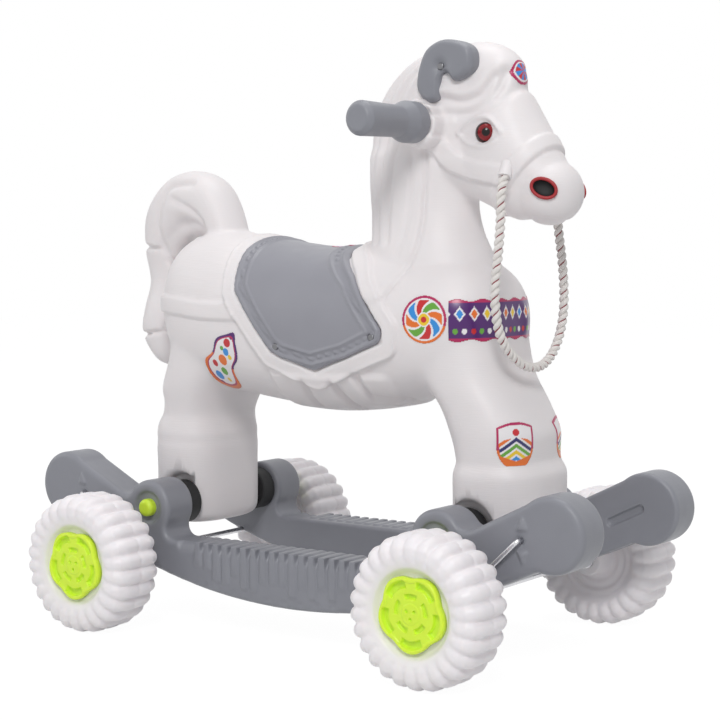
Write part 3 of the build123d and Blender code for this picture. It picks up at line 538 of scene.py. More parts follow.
def line_distance(places, points):
    """Distance in the side view from each place to a row of points (x, z)."""
    x, z = places[:, 0], places[:, 2]
    best = np.full(len(places), 1e9)
    for (ax, az), (bx, bz) in zip(points, points[1:]):
        run = np.array((bx - ax, bz - az), float)
        length2 = float(run @ run)
        if length2 == 0:
            continue
        t = np.clip(((x - ax) * run[0] + (z - az) * run[1]) / length2, 0, 1)
        best = np.minimum(best, np.hypot(x - ax - t * run[0], z - az - t * run[1]))
    return best


def curve(points, steps=6):
    """More points along a row of points, on a smooth line through them."""
    return [tuple(row) for row in blend_rows([np.array(p, float) for p in points], steps)]


def inside(places, points):
    """True where a place lies inside a closed outline in the side view."""
    x, z = places[:, 0], places[:, 2]
    result = np.zeros(len(places), bool)
    for (ax, az), (bx, bz) in zip(points, points[1:] + points[:1]):
        if az == bz:
            continue
        crosses = (az > z) != (bz > z)
        result ^= crosses & (x < (bx - ax) * (z - az) / (bz - az) + ax)
    return result


def step(value, low, high):
    """A smooth step from 0 at low to 1 at high."""
    t = np.clip((value - low) / (high - low), 0, 1)
    return t * t * (3 - 2 * t)


def ridge(distance, width):
    """1 at distance 0, with soft sides that are nearly 0 past twice the width."""
    return np.exp(-((distance / width) ** 2))


def groove(places, points, width, depth):
    return -depth * ridge(line_distance(places, points), width)


def raised(places, points, half_width, height, edge=2.5):
    """A flat band of the given half width along a row of points."""
    return height * (1 - step(line_distance(places, points), half_width - edge / 2, half_width + edge / 2))


SADDLE_OUTLINE = [
    (-98, 480), (-98, 410), (-90, 368), (-38, 303), (16, 285),
    (103, 317), (104, 330), (62, 384), (22, 416), (20, 480),
]


def outline_depth(places, points):
    """Distance from a closed outline in the side view: positive inside, negative outside."""
    closed = points + points[:1]
    distance = line_distance(places, closed)
    return np.where(inside(places, points), distance, -distance)


print("relief tools ready")

# %% Relief of the body
places, normals = arrays(skin)
x, y, z = places.T
height = np.zeros(len(places))
on_torso = (z > 240) & (x > -150) & (x < 135) & (z < 440)
from_saddle = outline_depth(places, SADDLE_OUTLINE)
skirt = step(from_saddle, -18.0, -15.5) * (1 - step(from_saddle, -1.5, -0.2))
height += np.where(on_torso, 4.2 * skirt, 0)
height += np.where(on_torso, 1.2 * ridge(from_saddle + 15, 2.0), 0)

strap = curve([(-232, 352), (-200, 351), (-175, 349.5), (-140, 346), (-98, 345), (-84, 346)])
height += raised(places, strap, 9.5, 3.6) * (x < -84) * (z > 300) * (from_saddle < -16)
girth_low = step(x, -52, -44) * (1 - step(x, 92, 104)) * (1 - step(z, 278, 286))
height += np.where(z > 235, 3.0 * girth_low, 0)
for slot in ([(-4, 272), (-11, 244)], [(33, 272), (38, 244)], [(63, 280), (68, 258), (98, 254)]):
    height += groove(places, slot, 4.4, 7.0) * (np.abs(y) > 22)
mane_edge = curve([(101, 357), (114, 379), (125, 408), (128, 437), (128, 460), (131, 500), (130, 520)])
height += groove(places, mane_edge, 1.8, 2.2) * (z < 516)
edge_x = np.interp(z, [357, 379, 408, 437, 460, 500, 520], [101, 114, 125, 128, 128, 131, 130])
height += 2.6 * (1 - step(x - edge_x, -4, 0)) * step(z, 352, 362) * (1 - step(z, 505, 520)) * (x > 40)
height += groove(places, curve([(104, 405), (110, 430), (113, 464), (115, 505)]), 3.2, 2.2)
for offset, depth in ((-2, 3.2), (15, 3.4), (32, 3.0)):
    lock = curve([(56 + offset, 418), (54 + offset, 450), (58 + offset, 490), (64 + offset, 530),
                  (80 + offset, 570), (104 + offset, 596), (128 + offset, 612)])
    height += groove(places, lock, 4.0, depth) * (z > 405)
print("body relief", round(float(height.min()), 2), round(float(height.max()), 2))

# %% Relief of the head
NOSE_AXIS = np.array((0.77, 0.0, -0.64))
along_nose = places @ NOSE_AXIS
on_nose = (x > 200) & (z > 430)
noseband = step(along_nose, -144, -141) * (1 - step(along_nose, -129, -126.5))
height += np.where(on_nose, 2.6 * noseband, 0)
muzzle_groove = ridge(along_nose + 125.5, 1.6)
height -= np.where(on_nose, 1.6 * muzzle_groove, 0)
cheek = curve([(134, 524), (143, 516), (156, 502), (178, 491.5), (212, 484.5), (222, 484)])
on_cheek = (np.abs(y) > 18) & (x < 226)
height += raised(places, cheek, 9.5, 3.2) * on_cheek
height += groove(places, curve([(135, 506), (148, 492), (169, 481), (206, 473)]), 1.7, 1.2) * on_cheek
upper_lid = curve([(166, 526), (176, 534), (188, 540.5), (200, 540.5), (209, 535), (217, 525)])
lower_lid = curve([(166, 526), (174, 519), (188, 513), (203, 512.5), (212, 517)])
near_eye = (np.abs(y) > 15) & (x > 150) & (x < 230)
height += 3.0 * ridge(line_distance(places, upper_lid), 1.8) * near_eye
height += 2.2 * ridge(line_distance(places, lower_lid), 1.8) * near_eye
height -= 1.4 * step(outline_depth(places, upper_lid + lower_lid[::-1]), 0.5, 3.0) * near_eye
for fold, width, depth in (
    ([(136, 558), (151, 561), (171, 557), (190, 563), (204, 582)], 4.2, 4.0),
    ([(140, 548), (160, 546), (182, 548), (204, 562), (213, 586)], 4.0, 3.4),
    ([(166, 541), (188, 545), (208, 551), (224, 574)], 4.2, 2.6),
):
    height += groove(places, curve(fold), width, depth) * (z > 530)
crest = [(134, 566), (152, 570), (172, 566), (192, 574), (206, 592)]
height += 2.8 * ridge(line_distance(places, curve(crest)), 6.0) * (z > 540)
height += groove(places, [(222, 437), (240, 441), (266, 438)], 2.0, 1.6) * (z < 450) * (x > 220)
print("head relief", round(float(height.min()), 2), round(float(height.max()), 2))

# %% Relief of the tail and legs
on_tail = x < -150
OUTER_CURL = [
    (-201, 486), (-232, 483), (-246, 466), (-253, 438), (-248, 407), (-231, 380), (-226, 363), (-229, 342),
]
for rows, width, depth in (
    (OUTER_CURL, 4.4, 4.6),
    ([(-226, 468), (-204, 458), (-190, 446), (-184, 432)], 4.4, 3.4),
    ([(-242, 357), (-238, 342), (-241, 330), (-246, 322)], 3.6, 2.6),
):
    height += groove(places, curve(rows), width, depth) * on_tail * (z > 270)
height -= 3.0 * ridge(np.hypot(x + 217, z - 438), 12.0) * on_tail
for centre_x in (204, -204):
    ankle = ridge(z - 196, 5.5) * (np.abs(x - centre_x) < 70)
    height -= 0.7 * ankle
move_out(skin, places, normals, height)
apply_modifier(skin, "SMOOTH", factor=0.4, iterations=1)
print("tail and leg relief", round(float(height.min()), 2), round(float(height.max()), 2))

# %% [markdown]
# ## Pockets and sockets
# The legs have a round pocket for each bush, and the eyes and nostrils sit in sockets. The solids
# have these hollows too, so the skin must have them at the same places. Pushing the skin inwards
# would give no crisp lip, so closed cutters are taken away from it with an exact Boolean.

# %% The nostril's own directions


def nostril_ways(side):
    """The way out of a nostril, its long way and its short way."""
    out = Vector((0.43, side * 0.90, 0.10)).normalized()
    long_way = Vector((0.86, -side * 0.40, -0.42))
    long_way = (long_way - out * long_way.dot(out)).normalized()
    return out, long_way, out.cross(long_way)


def oval(middle, long_way, short_way, half_long, half_short, count):
    """Points of an oval round a middle, from two directions and two half sizes."""
    turns = [2 * pi * s / count for s in range(count)]
    return [
        (middle + long_way * half_long * cos(turn) + short_way * half_short * sin(turn)) * MM
        for turn in turns
    ]


print("nostril faces", tuple(round(value, 2) for value in nostril_ways(1)[0]))

# %% Cut the pockets
FACE_TARGET = 190000
cutters = []
for _, side in SIDES:
    for _, end in ENDS:
        pocket, pocket_faces = tube_skin([
            disc_ring(end * 190, side * out_y, 129, radius, 64)
            for out_y, radius in ((54, 31), (57, 31), (64, 38.5), (80, 38.5))
        ])
        cutters.append((pocket, [face[::-1] for face in pocket_faces] if side > 0 else pocket_faces))
    cutters.append(rod_y(198, 525.6, 10.0, side * 36.0, side * 60))
    out, long_way, short_way = nostril_ways(side)
    cutters.append(tube_skin([
        oval(Vector((264, side * 34, 469.5)) + out * reach, long_way, short_way, 13.6, 9.8, 48)
        for reach in (-10.0, 14)
    ]))
cutter = add_object("pocket_cutter", *joined(cutters), smooth=False)
cut = skin.modifiers.new("pockets", "BOOLEAN")
cut.operation = "DIFFERENCE"
cut.solver = "EXACT"
cut.object = cutter
graph = bpy.context.evaluated_depsgraph_get()
skin_mesh = bpy.data.meshes.new_from_object(skin.evaluated_get(graph), depsgraph=graph)
skin.modifiers.clear()
skin.data = skin_mesh
bpy.data.objects.remove(cutter)
share_kept = FACE_TARGET / (2 * len(skin.data.polygons))
apply_modifier(skin, "DECIMATE", decimate_type="COLLAPSE", ratio=share_kept)
skin.data.materials.clear()
skin.data.materials.append(white_skin)
skin.data.shade_smooth()
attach(skin, "horse")
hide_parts("horse_shell")
print("skin after cutting", len(skin.data.polygons), "faces")

# %% [markdown]
# ## Copies with soft edges
# The rockers, grips and saddle are moulded too and have no sharp edge. A Bevel would need clean
# loops, which a solid's loose triangles don't have. A copy of the solid is cut into fine cubes and
# smoothed instead, which rounds all its edges at once and keeps its size.

# %% Copy a solid with soft edges


def moulded_copy(name, node, voxel, smoothing, material):
    """A copy of a node's mesh with rounded edges. Its double points are merged first."""
    mesh = bpy.data.meshes.new(name)
    work = bmesh.new()
    work.from_mesh(nodes[node].data)
    bmesh.ops.remove_doubles(work, verts=work.verts, dist=1e-6)
    work.to_mesh(mesh)
    work.free()
    made = bpy.data.objects.new(name, mesh)
    bpy.context.collection.objects.link(made)
    apply_modifier(made, "REMESH", mode="VOXEL", voxel_size=voxel, use_smooth_shade=True)
    apply_modifier(made, "SMOOTH", factor=0.5, iterations=smoothing)
    made.data.materials.clear()
    made.data.materials.append(material)
    made.data.shade_smooth()
    return made


def stand_in(made, node, body):
    """The piece rides on a body and is shown in place of a solid."""
    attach(made, body)
    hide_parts(node)


for side_name, _ in SIDES:
    rail = moulded_copy(f"rail_{side_name}", f"rocker_{side_name}", 0.0016, 3, grey)
    stand_in(rail, f"rocker_{side_name}", "horse")
print("rail", len(rail.data.polygons), "faces each")

# %% [markdown]
# ## Ears
# Each ear is a fat hook, flat where it meets the head and domed outside, with a hollow round its
# screw. A bent cone would miss the flat back. The outline is extruded instead, and cutting it into
# fine cubes and smoothing them domes the face.

# %% Curled ears
EAR_OUTLINE = [
    (128, 563), (123, 571), (122, 579), (125, 594), (133, 610), (147, 618), (161, 619), (177, 615),
    (186, 608), (188, 597), (186, 588), (177, 581), (168, 578), (164, 580), (161, 584), (157, 586),
    (152, 585), (149, 580), (148, 569), (146, 561), (137, 558),
]
for side_name, side in SIDES:
    rings = []
    for out_y, inset in ((29.5, 0.0), (43.0, 0.0), (47.5, 3.5)):
        ring = []
        outline = curve(EAR_OUTLINE + EAR_OUTLINE[:1], 4)[:-1]
        for number, (ox, oz) in enumerate(outline):
            before = outline[number - 1]
            after = outline[(number + 1) % len(outline)]
            along = Vector((after[0] - before[0], after[1] - before[1])).normalized()
            ring.append(Vector((ox + along.y * inset, side * out_y, oz - along.x * inset)) * MM)
        rings.append(ring)
    vertices = [point for ring in rings for point in ring]
    count = len(rings[0])
    faces = [tuple(range(count)), tuple(range(3 * count - 1, 2 * count - 1, -1))]
    for row in range(2):
        for s in range(count):
            nxt = (s + 1) % count
            low, high = row * count, (row + 1) * count
            faces.append((low + nxt, low + s, high + s, high + nxt))
    ear = add_object(f"curled_ear_{side_name}", vertices, faces, grey)
    apply_modifier(ear, "REMESH", mode="VOXEL", voxel_size=0.0009, use_smooth_shade=True)
    apply_modifier(ear, "SMOOTH", factor=0.5, iterations=16)
    places, normals = arrays(ear)
    hollow = 5.0 * ridge(np.hypot(places[:, 0] - 151.5, places[:, 2] - 592.5), 7.5)
    move_out(ear, places, normals, -hollow * (np.abs(places[:, 1]) > 38) + 0.4)
    ear.data.materials.clear()
    ear.data.materials.append(grey)
    ear.data.shade_smooth()
    stand_in(ear, f"ear_{side_name}", "horse")
print("ears", len(ear.data.polygons), "faces each")

# %% [markdown]
# ## Handle grips
# Each grip is a fat sleeve with a flange, and has three crescent grooves for the fingers on its
# front. They could be cut with a Boolean, but a height along the normals keeps their edges soft.

# %% Grips
HANDLE = (130.0, 537.5)
for side_name, side in SIDES:
    grip = moulded_copy(f"handle_grip_{side_name}", f"grip_{side_name}", 0.0011, 5, grey)
    places, normals = arrays(grip)
    flat = places[:, [1, 0, 2]].copy()
    flat[:, 0] *= side
    facing_front = places[:, 0] > HANDLE[0] + 4
    height = np.zeros(len(places))
    for middle in (79, 96, 114):
        crescent = [
            (middle + 3 - 5 * sin(t), HANDLE[1] + 8.5 * cos(t)) for t in np.linspace(0.35, pi - 0.35, 9)
        ]
        height -= 2.4 * ridge(line_distance(flat, crescent), 1.7) * facing_front
    move_out(grip, places, normals, height)
    stand_in(grip, f"grip_{side_name}", "horse")
print("grips", len(grip.data.polygons), "faces each")

# %% [markdown]
# ## Saddle
# The saddle is one moulding with two raised beads along its border. A row of stitches is moulded
# between them, so nothing here is sewn. Separate beads would leave seams, so beads and stitches are
# heights that depend on the distance from the border.

# %% Saddle
saddle_piece = moulded_copy("moulded_saddle", "saddle", 0.0014, 5, grey_saddle)
places, normals = arrays(saddle_piece)
SADDLE_CURVE = [
    (-98, 480), (-98, 410), (-90, 368), (-64, 335), (-40, 306), (-26, 297), (16, 288),
    (60, 299), (101, 317), (104, 330), (62, 384), (22, 416), (20, 480),
]
from_edge = outline_depth(places, SADDLE_CURVE)
outward = (normals[:, 2] > 0.15) | (np.abs(places[:, 1]) * np.sign(normals[:, 1] * places[:, 1]) > 5)
height = 1.8 * ridge(from_edge - 3.6, 1.9)
height += 1.8 * ridge(from_edge - 15.0, 1.7)
height -= 0.7 * ridge(from_edge - 9.3, 3.2)
run_along = np.where(places[:, 2] > 396, places[:, 1], places[:, 2] * 0.75 + places[:, 0] * 0.66)
stitch = step(np.cos(2 * pi * run_along / 9.0), -0.3, 0.3)
height += 1.9 * stitch * ridge(from_edge - 9.3, 1.6)
move_out(saddle_piece, places, normals, np.where(outward & (from_edge > -2), height, 0))
stand_in(saddle_piece, "saddle", "horse")
print("saddle", len(saddle_piece.data.polygons), "faces")

# %% [markdown]
# ## Tyres
# A tyre is a hollow moulding with rounded lugs laid across it. An Array modifier could repeat them,
# but a small Geometry Nodes tree has a named count that is easy to change. It sets one lug all round
# the tyre's body, and the two are fused.

# %% Body of the tyre and one lug
LUG_COUNT = 26
TYRE_PROFILE = [
    # distance along the axle, radius
    (22, 7.1), (22, 36), (22.8, 39), (25.5, 41.2), (29, 43.5), (31.2, 48), (31.8, 55), (30.5, 61.5),
    (26, 66.2), (18, 68.6), (0, 69.4), (-18, 68.6), (-26, 66.2), (-30.5, 61.5), (-31.8, 55), (-31, 49),
    (-27.5, 45), (-24, 42), (-25, 37), (-21.5, 34), (-23.5, 28), (-21.5, 24), (-22.5, 20),
    (-44.8, 17), (-44.8, 7.1),
]


def lathe(profile, count):
    """A closed ring about the Y axis. The profile is a closed line of (along, radius)."""
    vertices = [
        Vector((radius * sin(2 * pi * s / count), along, -radius * cos(2 * pi * s / count))) * MM
        for along, radius in profile
        for s in range(count)
    ]
    faces = []
    rows = len(profile)
    for row in range(rows):
        for s in range(count):
            nxt = (s + 1) % count
            low, high = row * count, (row + 1) % rows * count
            faces.append((low + s, high + s, high + nxt, low + nxt))
    return vertices, faces


LUG_PATH = [
    # distance along the axle, radius of its middle, half width, half height
    (31.0, 49, 2.2, 1.2), (31.2, 54, 5.0, 3.0), (29.0, 61, 6.6, 4.8), (24.5, 66.0, 7.1, 5.7),
    (17, 68.6, 7.3, 6.0), (8, 69.0, 7.3, 6.0), (2.2, 69.0, 7.2, 5.9), (0, 69.0, 6.4, 4.6),
    (-2.2, 69.0, 7.2, 5.9), (-8, 69.0, 7.3, 6.0), (-17, 68.6, 7.3, 6.0), (-24.5, 66.0, 7.1, 5.7),
    (-29.0, 61, 6.6, 4.8), (-31.2, 54, 5.0, 3.0), (-31.0, 49, 2.2, 1.2),
]


def lug_skin():
    """One rounded bar across the tread, at the foot of the wheel."""
    rings = []
    for number, (along, radius, half_width, half_height) in enumerate(LUG_PATH):
        before = LUG_PATH[max(number - 1, 0)]
        after = LUG_PATH[min(number + 1, len(LUG_PATH) - 1)]
        run = Vector((0, after[0] - before[0], before[1] - after[1])).normalized()
        away = Vector((0, -run.z, run.y))
        rings.append([
            (Vector((0, along, -radius)) + Vector((1, 0, 0)) * half_width * cos(2 * pi * s / 24)
             + away * half_height * sin(2 * pi * s / 24)) * MM
            for s in range(24)
        ])
    return tube_skin(rings)


carcass = add_object("tyre_carcass", *lathe(TYRE_PROFILE, 156), smooth=False)
one_lug = add_object("one_lug", *lug_skin(), smooth=False)
print("carcass", len(carcass.data.polygons), "lug", len(one_lug.data.polygons), "faces")

# %% Set the lugs round the tyre
ring_tree = bpy.data.node_groups.new("set_round", "GeometryNodeTree")
ring_tree.interface.new_socket("Geometry", in_out="INPUT", socket_type="NodeSocketGeometry")
for socket, kind in (
    ("Piece", "NodeSocketObject"), ("Count", "NodeSocketInt"), ("Finish", "NodeSocketMaterial"),
):
    ring_tree.interface.new_socket(socket, in_out="INPUT", socket_type=kind)
ring_tree.interface.new_socket("Geometry", in_out="OUTPUT", socket_type="NodeSocketGeometry")
ring_nodes, ring_links = ring_tree.nodes, ring_tree.links
ring_in = ring_nodes.new("NodeGroupInput")
ring_out = ring_nodes.new("NodeGroupOutput")
points = ring_nodes.new("GeometryNodePoints")
ring_links.new(ring_in.outputs["Count"], points.inputs["Count"])
piece_info = ring_nodes.new("GeometryNodeObjectInfo")
ring_links.new(ring_in.outputs["Piece"], piece_info.inputs["Object"])
index = ring_nodes.new("GeometryNodeInputIndex")
share = ring_nodes.new("ShaderNodeMath")
share.operation = "DIVIDE"
ring_links.new(index.outputs["Index"], share.inputs[0])
ring_links.new(ring_in.outputs["Count"], share.inputs[1])
angle = ring_nodes.new("ShaderNodeMath")
angle.operation = "MULTIPLY"
angle.inputs[1].default_value = 2 * pi
ring_links.new(share.outputs[0], angle.inputs[0])
turn = ring_nodes.new("ShaderNodeCombineXYZ")
ring_links.new(angle.outputs[0], turn.inputs["Y"])
instance = ring_nodes.new("GeometryNodeInstanceOnPoints")
ring_links.new(points.outputs["Points"], instance.inputs["Points"])
ring_links.new(piece_info.outputs["Geometry"], instance.inputs["Instance"])
ring_links.new(turn.outputs["Vector"], instance.inputs["Rotation"])
join = ring_nodes.new("GeometryNodeJoinGeometry")
ring_links.new(instance.outputs["Instances"], join.inputs["Geometry"])
ring_links.new(ring_in.outputs["Geometry"], join.inputs["Geometry"])
real = ring_nodes.new("GeometryNodeRealizeInstances")
ring_links.new(join.outputs["Geometry"], real.inputs["Geometry"])
finish_node = ring_nodes.new("GeometryNodeSetMaterial")
ring_links.new(real.outputs["Geometry"], finish_node.inputs["Geometry"])
ring_links.new(ring_in.outputs["Finish"], finish_node.inputs["Material"])
ring_links.new(finish_node.outputs["Geometry"], ring_out.inputs["Geometry"])


def run_tree(made, tree, **values):
    """Runs a Geometry Nodes tree on an object and keeps the result as its plain mesh."""
    modifier = made.modifiers.new("tree", "NODES")
    modifier.node_group = tree
    for item in tree.interface.items_tree:
        if item.item_type == "SOCKET" and item.in_out == "INPUT" and item.name in values:
            modifier[item.identifier] = values[item.name]
    graph = bpy.context.evaluated_depsgraph_get()
    mesh = bpy.data.meshes.new_from_object(made.evaluated_get(graph), depsgraph=graph)
    made.modifiers.clear()
    made.data = mesh
    return made


run_tree(carcass, ring_tree, Piece=one_lug, Count=LUG_COUNT, Finish=white_wheel)
bpy.data.objects.remove(one_lug)
apply_modifier(carcass, "REMESH", mode="VOXEL", voxel_size=0.0015, use_smooth_shade=True)
apply_modifier(carcass, "SMOOTH", factor=0.5, iterations=4)
print("one tyre", len(carcass.data.polygons), "faces")

# %% Four tyres
WHEEL_SPOT = (220.0, 174.0, 75.0)


def at_wheel(source, name, end, side, material):
    """A copy of a piece made at the origin, moved to one wheel with its face outwards."""
    mesh = source.data.copy()
    mesh.name = name
    turn = Matrix.Rotation(0 if side > 0 else pi, 4, "Z")
    spot = Vector((end * WHEEL_SPOT[0], side * WHEEL_SPOT[1], WHEEL_SPOT[2])) * MM
    mesh.transform(Matrix.Translation(spot) @ turn)
    mesh.materials.clear()
    mesh.materials.append(material)
    mesh.shade_smooth()
    made = bpy.data.objects.new(name, mesh)
    bpy.context.collection.objects.link(made)
    return made


for end_name, end in ENDS:
    for side_name, side in SIDES:
        spot_name = f"{end_name}_{side_name}"
        tyre = at_wheel(carcass, f"treaded_tyre_{spot_name}", end, side, white_wheel)
        stand_in(tyre, f"tyre_{spot_name}", f"{spot_name}_wheel")
bpy.data.objects.remove(carcass)
print("four tyres")

# %% [markdown]
# ## Hub plates
# Each lime plate is a five-lobed rosette: a raised rim, crescent windows inside each lobe, a second
# ring of smaller windows and a round middle with three holes. Cutting all those windows would take
# many Booleans. The plate is seen from outside only, so it is a height over a round grid.

# %% Rosette plate
PLATE_RADIUS = 37.5
PLATE_FLOOR = 22.4
PLATE_TOP = 28.6


def rise(value, low, high):
    """The smooth step for one number."""
    return float(step(np.float64(value), low, high))


def rosette_skin():
    """A closed plate whose outer face is a height over rings and turns."""
    around, rows = 260, 64
    rings = []
    for row in range(rows + 2):
        ring = []
        for s in range(around):
            turn = 2 * pi * s / around
            lobe = 0.5 + 0.5 * cos(5 * turn)
            edge = PLATE_RADIUS * (0.885 + 0.115 * lobe**0.7)
            if row == 0:
                ring.append(Vector((edge * sin(turn), PLATE_FLOOR, -edge * cos(turn))) * MM)
                continue
            share = 1 - (row - 1) / rows * 0.995
            radius = edge * share
            to_lobe = (turn + pi / 5) % (2 * pi / 5) - pi / 5
            to_gap = turn % (2 * pi / 5) - pi / 5
            rim = rise(share, 0.86, 0.90) - rise(share, 0.965, 1.0)
            outer = rise(4.2 - abs(radius - (27.2 + 2.2 * cos(2.6 * to_lobe))), 0, 1.2)
            outer *= rise(0.43 - abs(to_lobe), 0, 0.07)
            inner = rise(2.7 - abs(radius - 16.6), 0, 1.0)
            inner *= rise(0.42 - abs(to_gap), 0, 0.09)
            middle = rise(10.5 - radius, 0, 1.0)
            along = PLATE_TOP + 1.3 * rim - 4.6 * outer - 3.6 * inner + 0.8 * middle
            for hole in range(3):
                hx, hz = 5 * sin(2 * pi * hole / 3), -5 * cos(2 * pi * hole / 3)
                gone = hypot(radius * sin(turn) - hx, -radius * cos(turn) - hz)
                along -= 2.6 * rise(1.9 - gone, 0, 0.7)
            ring.append(Vector((radius * sin(turn), along, -radius * cos(turn))) * MM)
        rings.append(ring)
    return tube_skin(rings)


plate = add_object("rosette", *rosette_skin(), lime)
for end_name, end in ENDS:
    for side_name, side in SIDES:
        spot_name = f"{end_name}_{side_name}"
        rosette = at_wheel(plate, f"rosette_{spot_name}", end, side, lime)
        stand_in(rosette, f"hub_plate_{spot_name}", f"{spot_name}_wheel")
bpy.data.objects.remove(plate)
print("four hub plates")

# %% [markdown]
# ## Eyes and nostrils
# An eye is a glossy dark red dome with a black middle that looks a little forwards. A separate disc
# could be the pupil, but it would stand off the dome, so the colour depends on the angle between the
# surface and the gaze. A nostril is a black bowl in a red rim.

# %% Eyes
EYE_CENTRE = (198.0, 34.0, 525.6)
EYE_GAZE = Vector((0.50, 0.86, 0.03)).normalized()
eye_material, eye_tree, eye_links = new_material("eye_dome")
eye_shader = eye_tree["Principled BSDF"]
eye_shader.inputs["Roughness"].default_value = 0.18
eye_shader.inputs["Specular IOR Level"].default_value = 0.35
eye_place = eye_tree.new("ShaderNodeTexCoord")
eye_both = eye_tree.new("ShaderNodeVectorMath")
eye_both.operation = "ABSOLUTE"
eye_links.new(eye_place.outputs["Object"], eye_both.inputs[0])
eye_middle = eye_tree.new("ShaderNodeVectorMath")
eye_middle.operation = "SUBTRACT"
eye_middle.inputs[1].default_value = [value * MM for value in EYE_CENTRE]
eye_links.new(eye_both.outputs["Vector"], eye_middle.inputs[0])
eye_unit = eye_tree.new("ShaderNodeVectorMath")
eye_unit.operation = "NORMALIZE"
eye_links.new(eye_middle.outputs["Vector"], eye_unit.inputs[0])
eye_dot = eye_tree.new("ShaderNodeVectorMath")
eye_dot.operation = "DOT_PRODUCT"
eye_dot.inputs[1].default_value = EYE_GAZE
eye_links.new(eye_unit.outputs["Vector"], eye_dot.inputs[0])
eye_ramp = eye_tree.new("ShaderNodeValToRGB")
eye_ramp.color_ramp.elements[0].position = 0.60
eye_ramp.color_ramp.elements[0].color = (0.035, 0.004, 0.005, 1)
eye_ramp.color_ramp.elements[1].position = 0.95
eye_ramp.color_ramp.elements[1].color = (0.004, 0.002, 0.002, 1)
for position, colour in (
    (0.66, (0.27, 0.010, 0.016)), (0.90, (0.21, 0.008, 0.012)), (0.935, (0.01, 0.002, 0.002)),
):
    eye_ramp.color_ramp.elements.new(position).color = (*colour, 1)
eye_links.new(eye_dot.outputs["Value"], eye_ramp.inputs["Fac"])
eye_links.new(eye_ramp.outputs["Color"], eye_shader.inputs["Base Color"])
for side_name, side in SIDES:
    dome = add_object(
        f"eye_dome_{side_name}",
        *ball((EYE_CENTRE[0], side * EYE_CENTRE[1], EYE_CENTRE[2]), (10.9, 10.4, 10.9)),
        eye_material,
    )
    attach(dome, "horse")
    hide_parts(f"eye_{side_name}", "pupils")
print("eyes", len(dome.data.polygons), "faces each")

# %% Nostrils
BOWL_PROFILE = [
    # distance along the way out, share of the bowl's half sizes
    (-6.7, 0.03), (-6.6, 0.35), (-6.0, 0.66), (-4.4, 0.86), (-1.5, 0.99), (0.6, 1.06), (0.6, 1.12),
    (-6.9, 1.12),
]
RIM_LONG, RIM_SHORT = 12.6, 8.9
RIM_AROUND, RIM_SIDES = 72, 16
for side_name, side in SIDES:
    out, long_way, short_way = nostril_ways(side)
    spot = Vector((263.4, side * 33.6, 469.4)) - out * 0.5
    rings = [
        oval(spot + out * reach, long_way, short_way, 11.6 * share, 8.0 * share, 64)
        for reach, share in BOWL_PROFILE
    ]
    if side < 0:
        rings = rings[::-1]
    bowl = add_object(f"nostril_bowl_{side_name}", *tube_skin(rings), black)
    stand_in(bowl, "nostril_cups", "horse")
    vertices, faces = [], []
    for r in range(RIM_AROUND):
        turn = 2 * pi * r / RIM_AROUND
        middle = spot + out * 0.2 + long_way * RIM_LONG * cos(turn) + short_way * RIM_SHORT * sin(turn)
        away = (long_way * cos(turn) * RIM_SHORT + short_way * sin(turn) * RIM_LONG).normalized()
        vertices += oval(middle, away, out, 1.7, 1.5, RIM_SIDES)
        low, high = r * RIM_SIDES, (r + 1) % RIM_AROUND * RIM_SIDES
        for t in range(RIM_SIDES):
            nxt = (t + 1) % RIM_SIDES
            faces.append((low + t, low + nxt, high + nxt, high + t))
    rim = add_object(f"nostril_ring_{side_name}", vertices, faces, rim_red)
    stand_in(rim, "nostril_rims", "horse")
print("nostrils", len(rim.data.polygons), "faces in each rim")

# %% [markdown]
# ## Printed labels
# Coloured labels are stuck on the chest, the thighs, the legs, the forehead and the seat. Painting
# them into the skin's material would blur their edges, so each is a thin foil of its own: a fine
# grid of points cast onto the skin. Formulas give its colours: pinwheels, diamonds, dots, chevrons.

# %% Inks and the label material
INKS = {
    "white": (0.86, 0.83, 0.84), "magenta": (0.46, 0.012, 0.10), "purple": (0.075, 0.010, 0.14),
    "orange": (0.80, 0.17, 0.02), "yellow": (0.86, 0.58, 0.03), "blue": (0.03, 0.27, 0.70),
    "green": (0.13, 0.38, 0.04), "red": (0.58, 0.02, 0.025), "navy": (0.02, 0.02, 0.13),
}
label_material, label_tree, label_links = new_material("printed_label")
label_shader = label_tree["Principled BSDF"]
label_shader.inputs["Roughness"].default_value = 0.28
label_ink = label_tree.new("ShaderNodeAttribute")
label_ink.attribute_name = "ink"
label_links.new(label_ink.outputs["Color"], label_shader.inputs["Base Color"])
LABEL_LIFT = 0.00035
LABEL_THICKNESS = 0.0003
LABEL_RAY = 0.12
print("inks", len(INKS))

# %% Cast a label onto a surface

def surface_tree(made):
    corners = [vertex.co for vertex in made.data.vertices]
    return BVHTree.FromPolygons(corners, [tuple(face.vertices) for face in made.data.polygons])


skin_surface = surface_tree(skin)
saddle_surface = surface_tree(saddle_piece)


def straight_rays(centre, facing, across):
    """Rays onto a surface, all in one direction. u runs across and v runs up, in millimetres."""
    facing = Vector(facing).normalized()
    across = (Vector(across) - facing * facing.dot(Vector(across))).normalized()
    up = facing.cross(across)

    def ray(u, v):
        return (Vector(centre) + across * u + up * v + facing * 60) * MM, -facing

    return ray


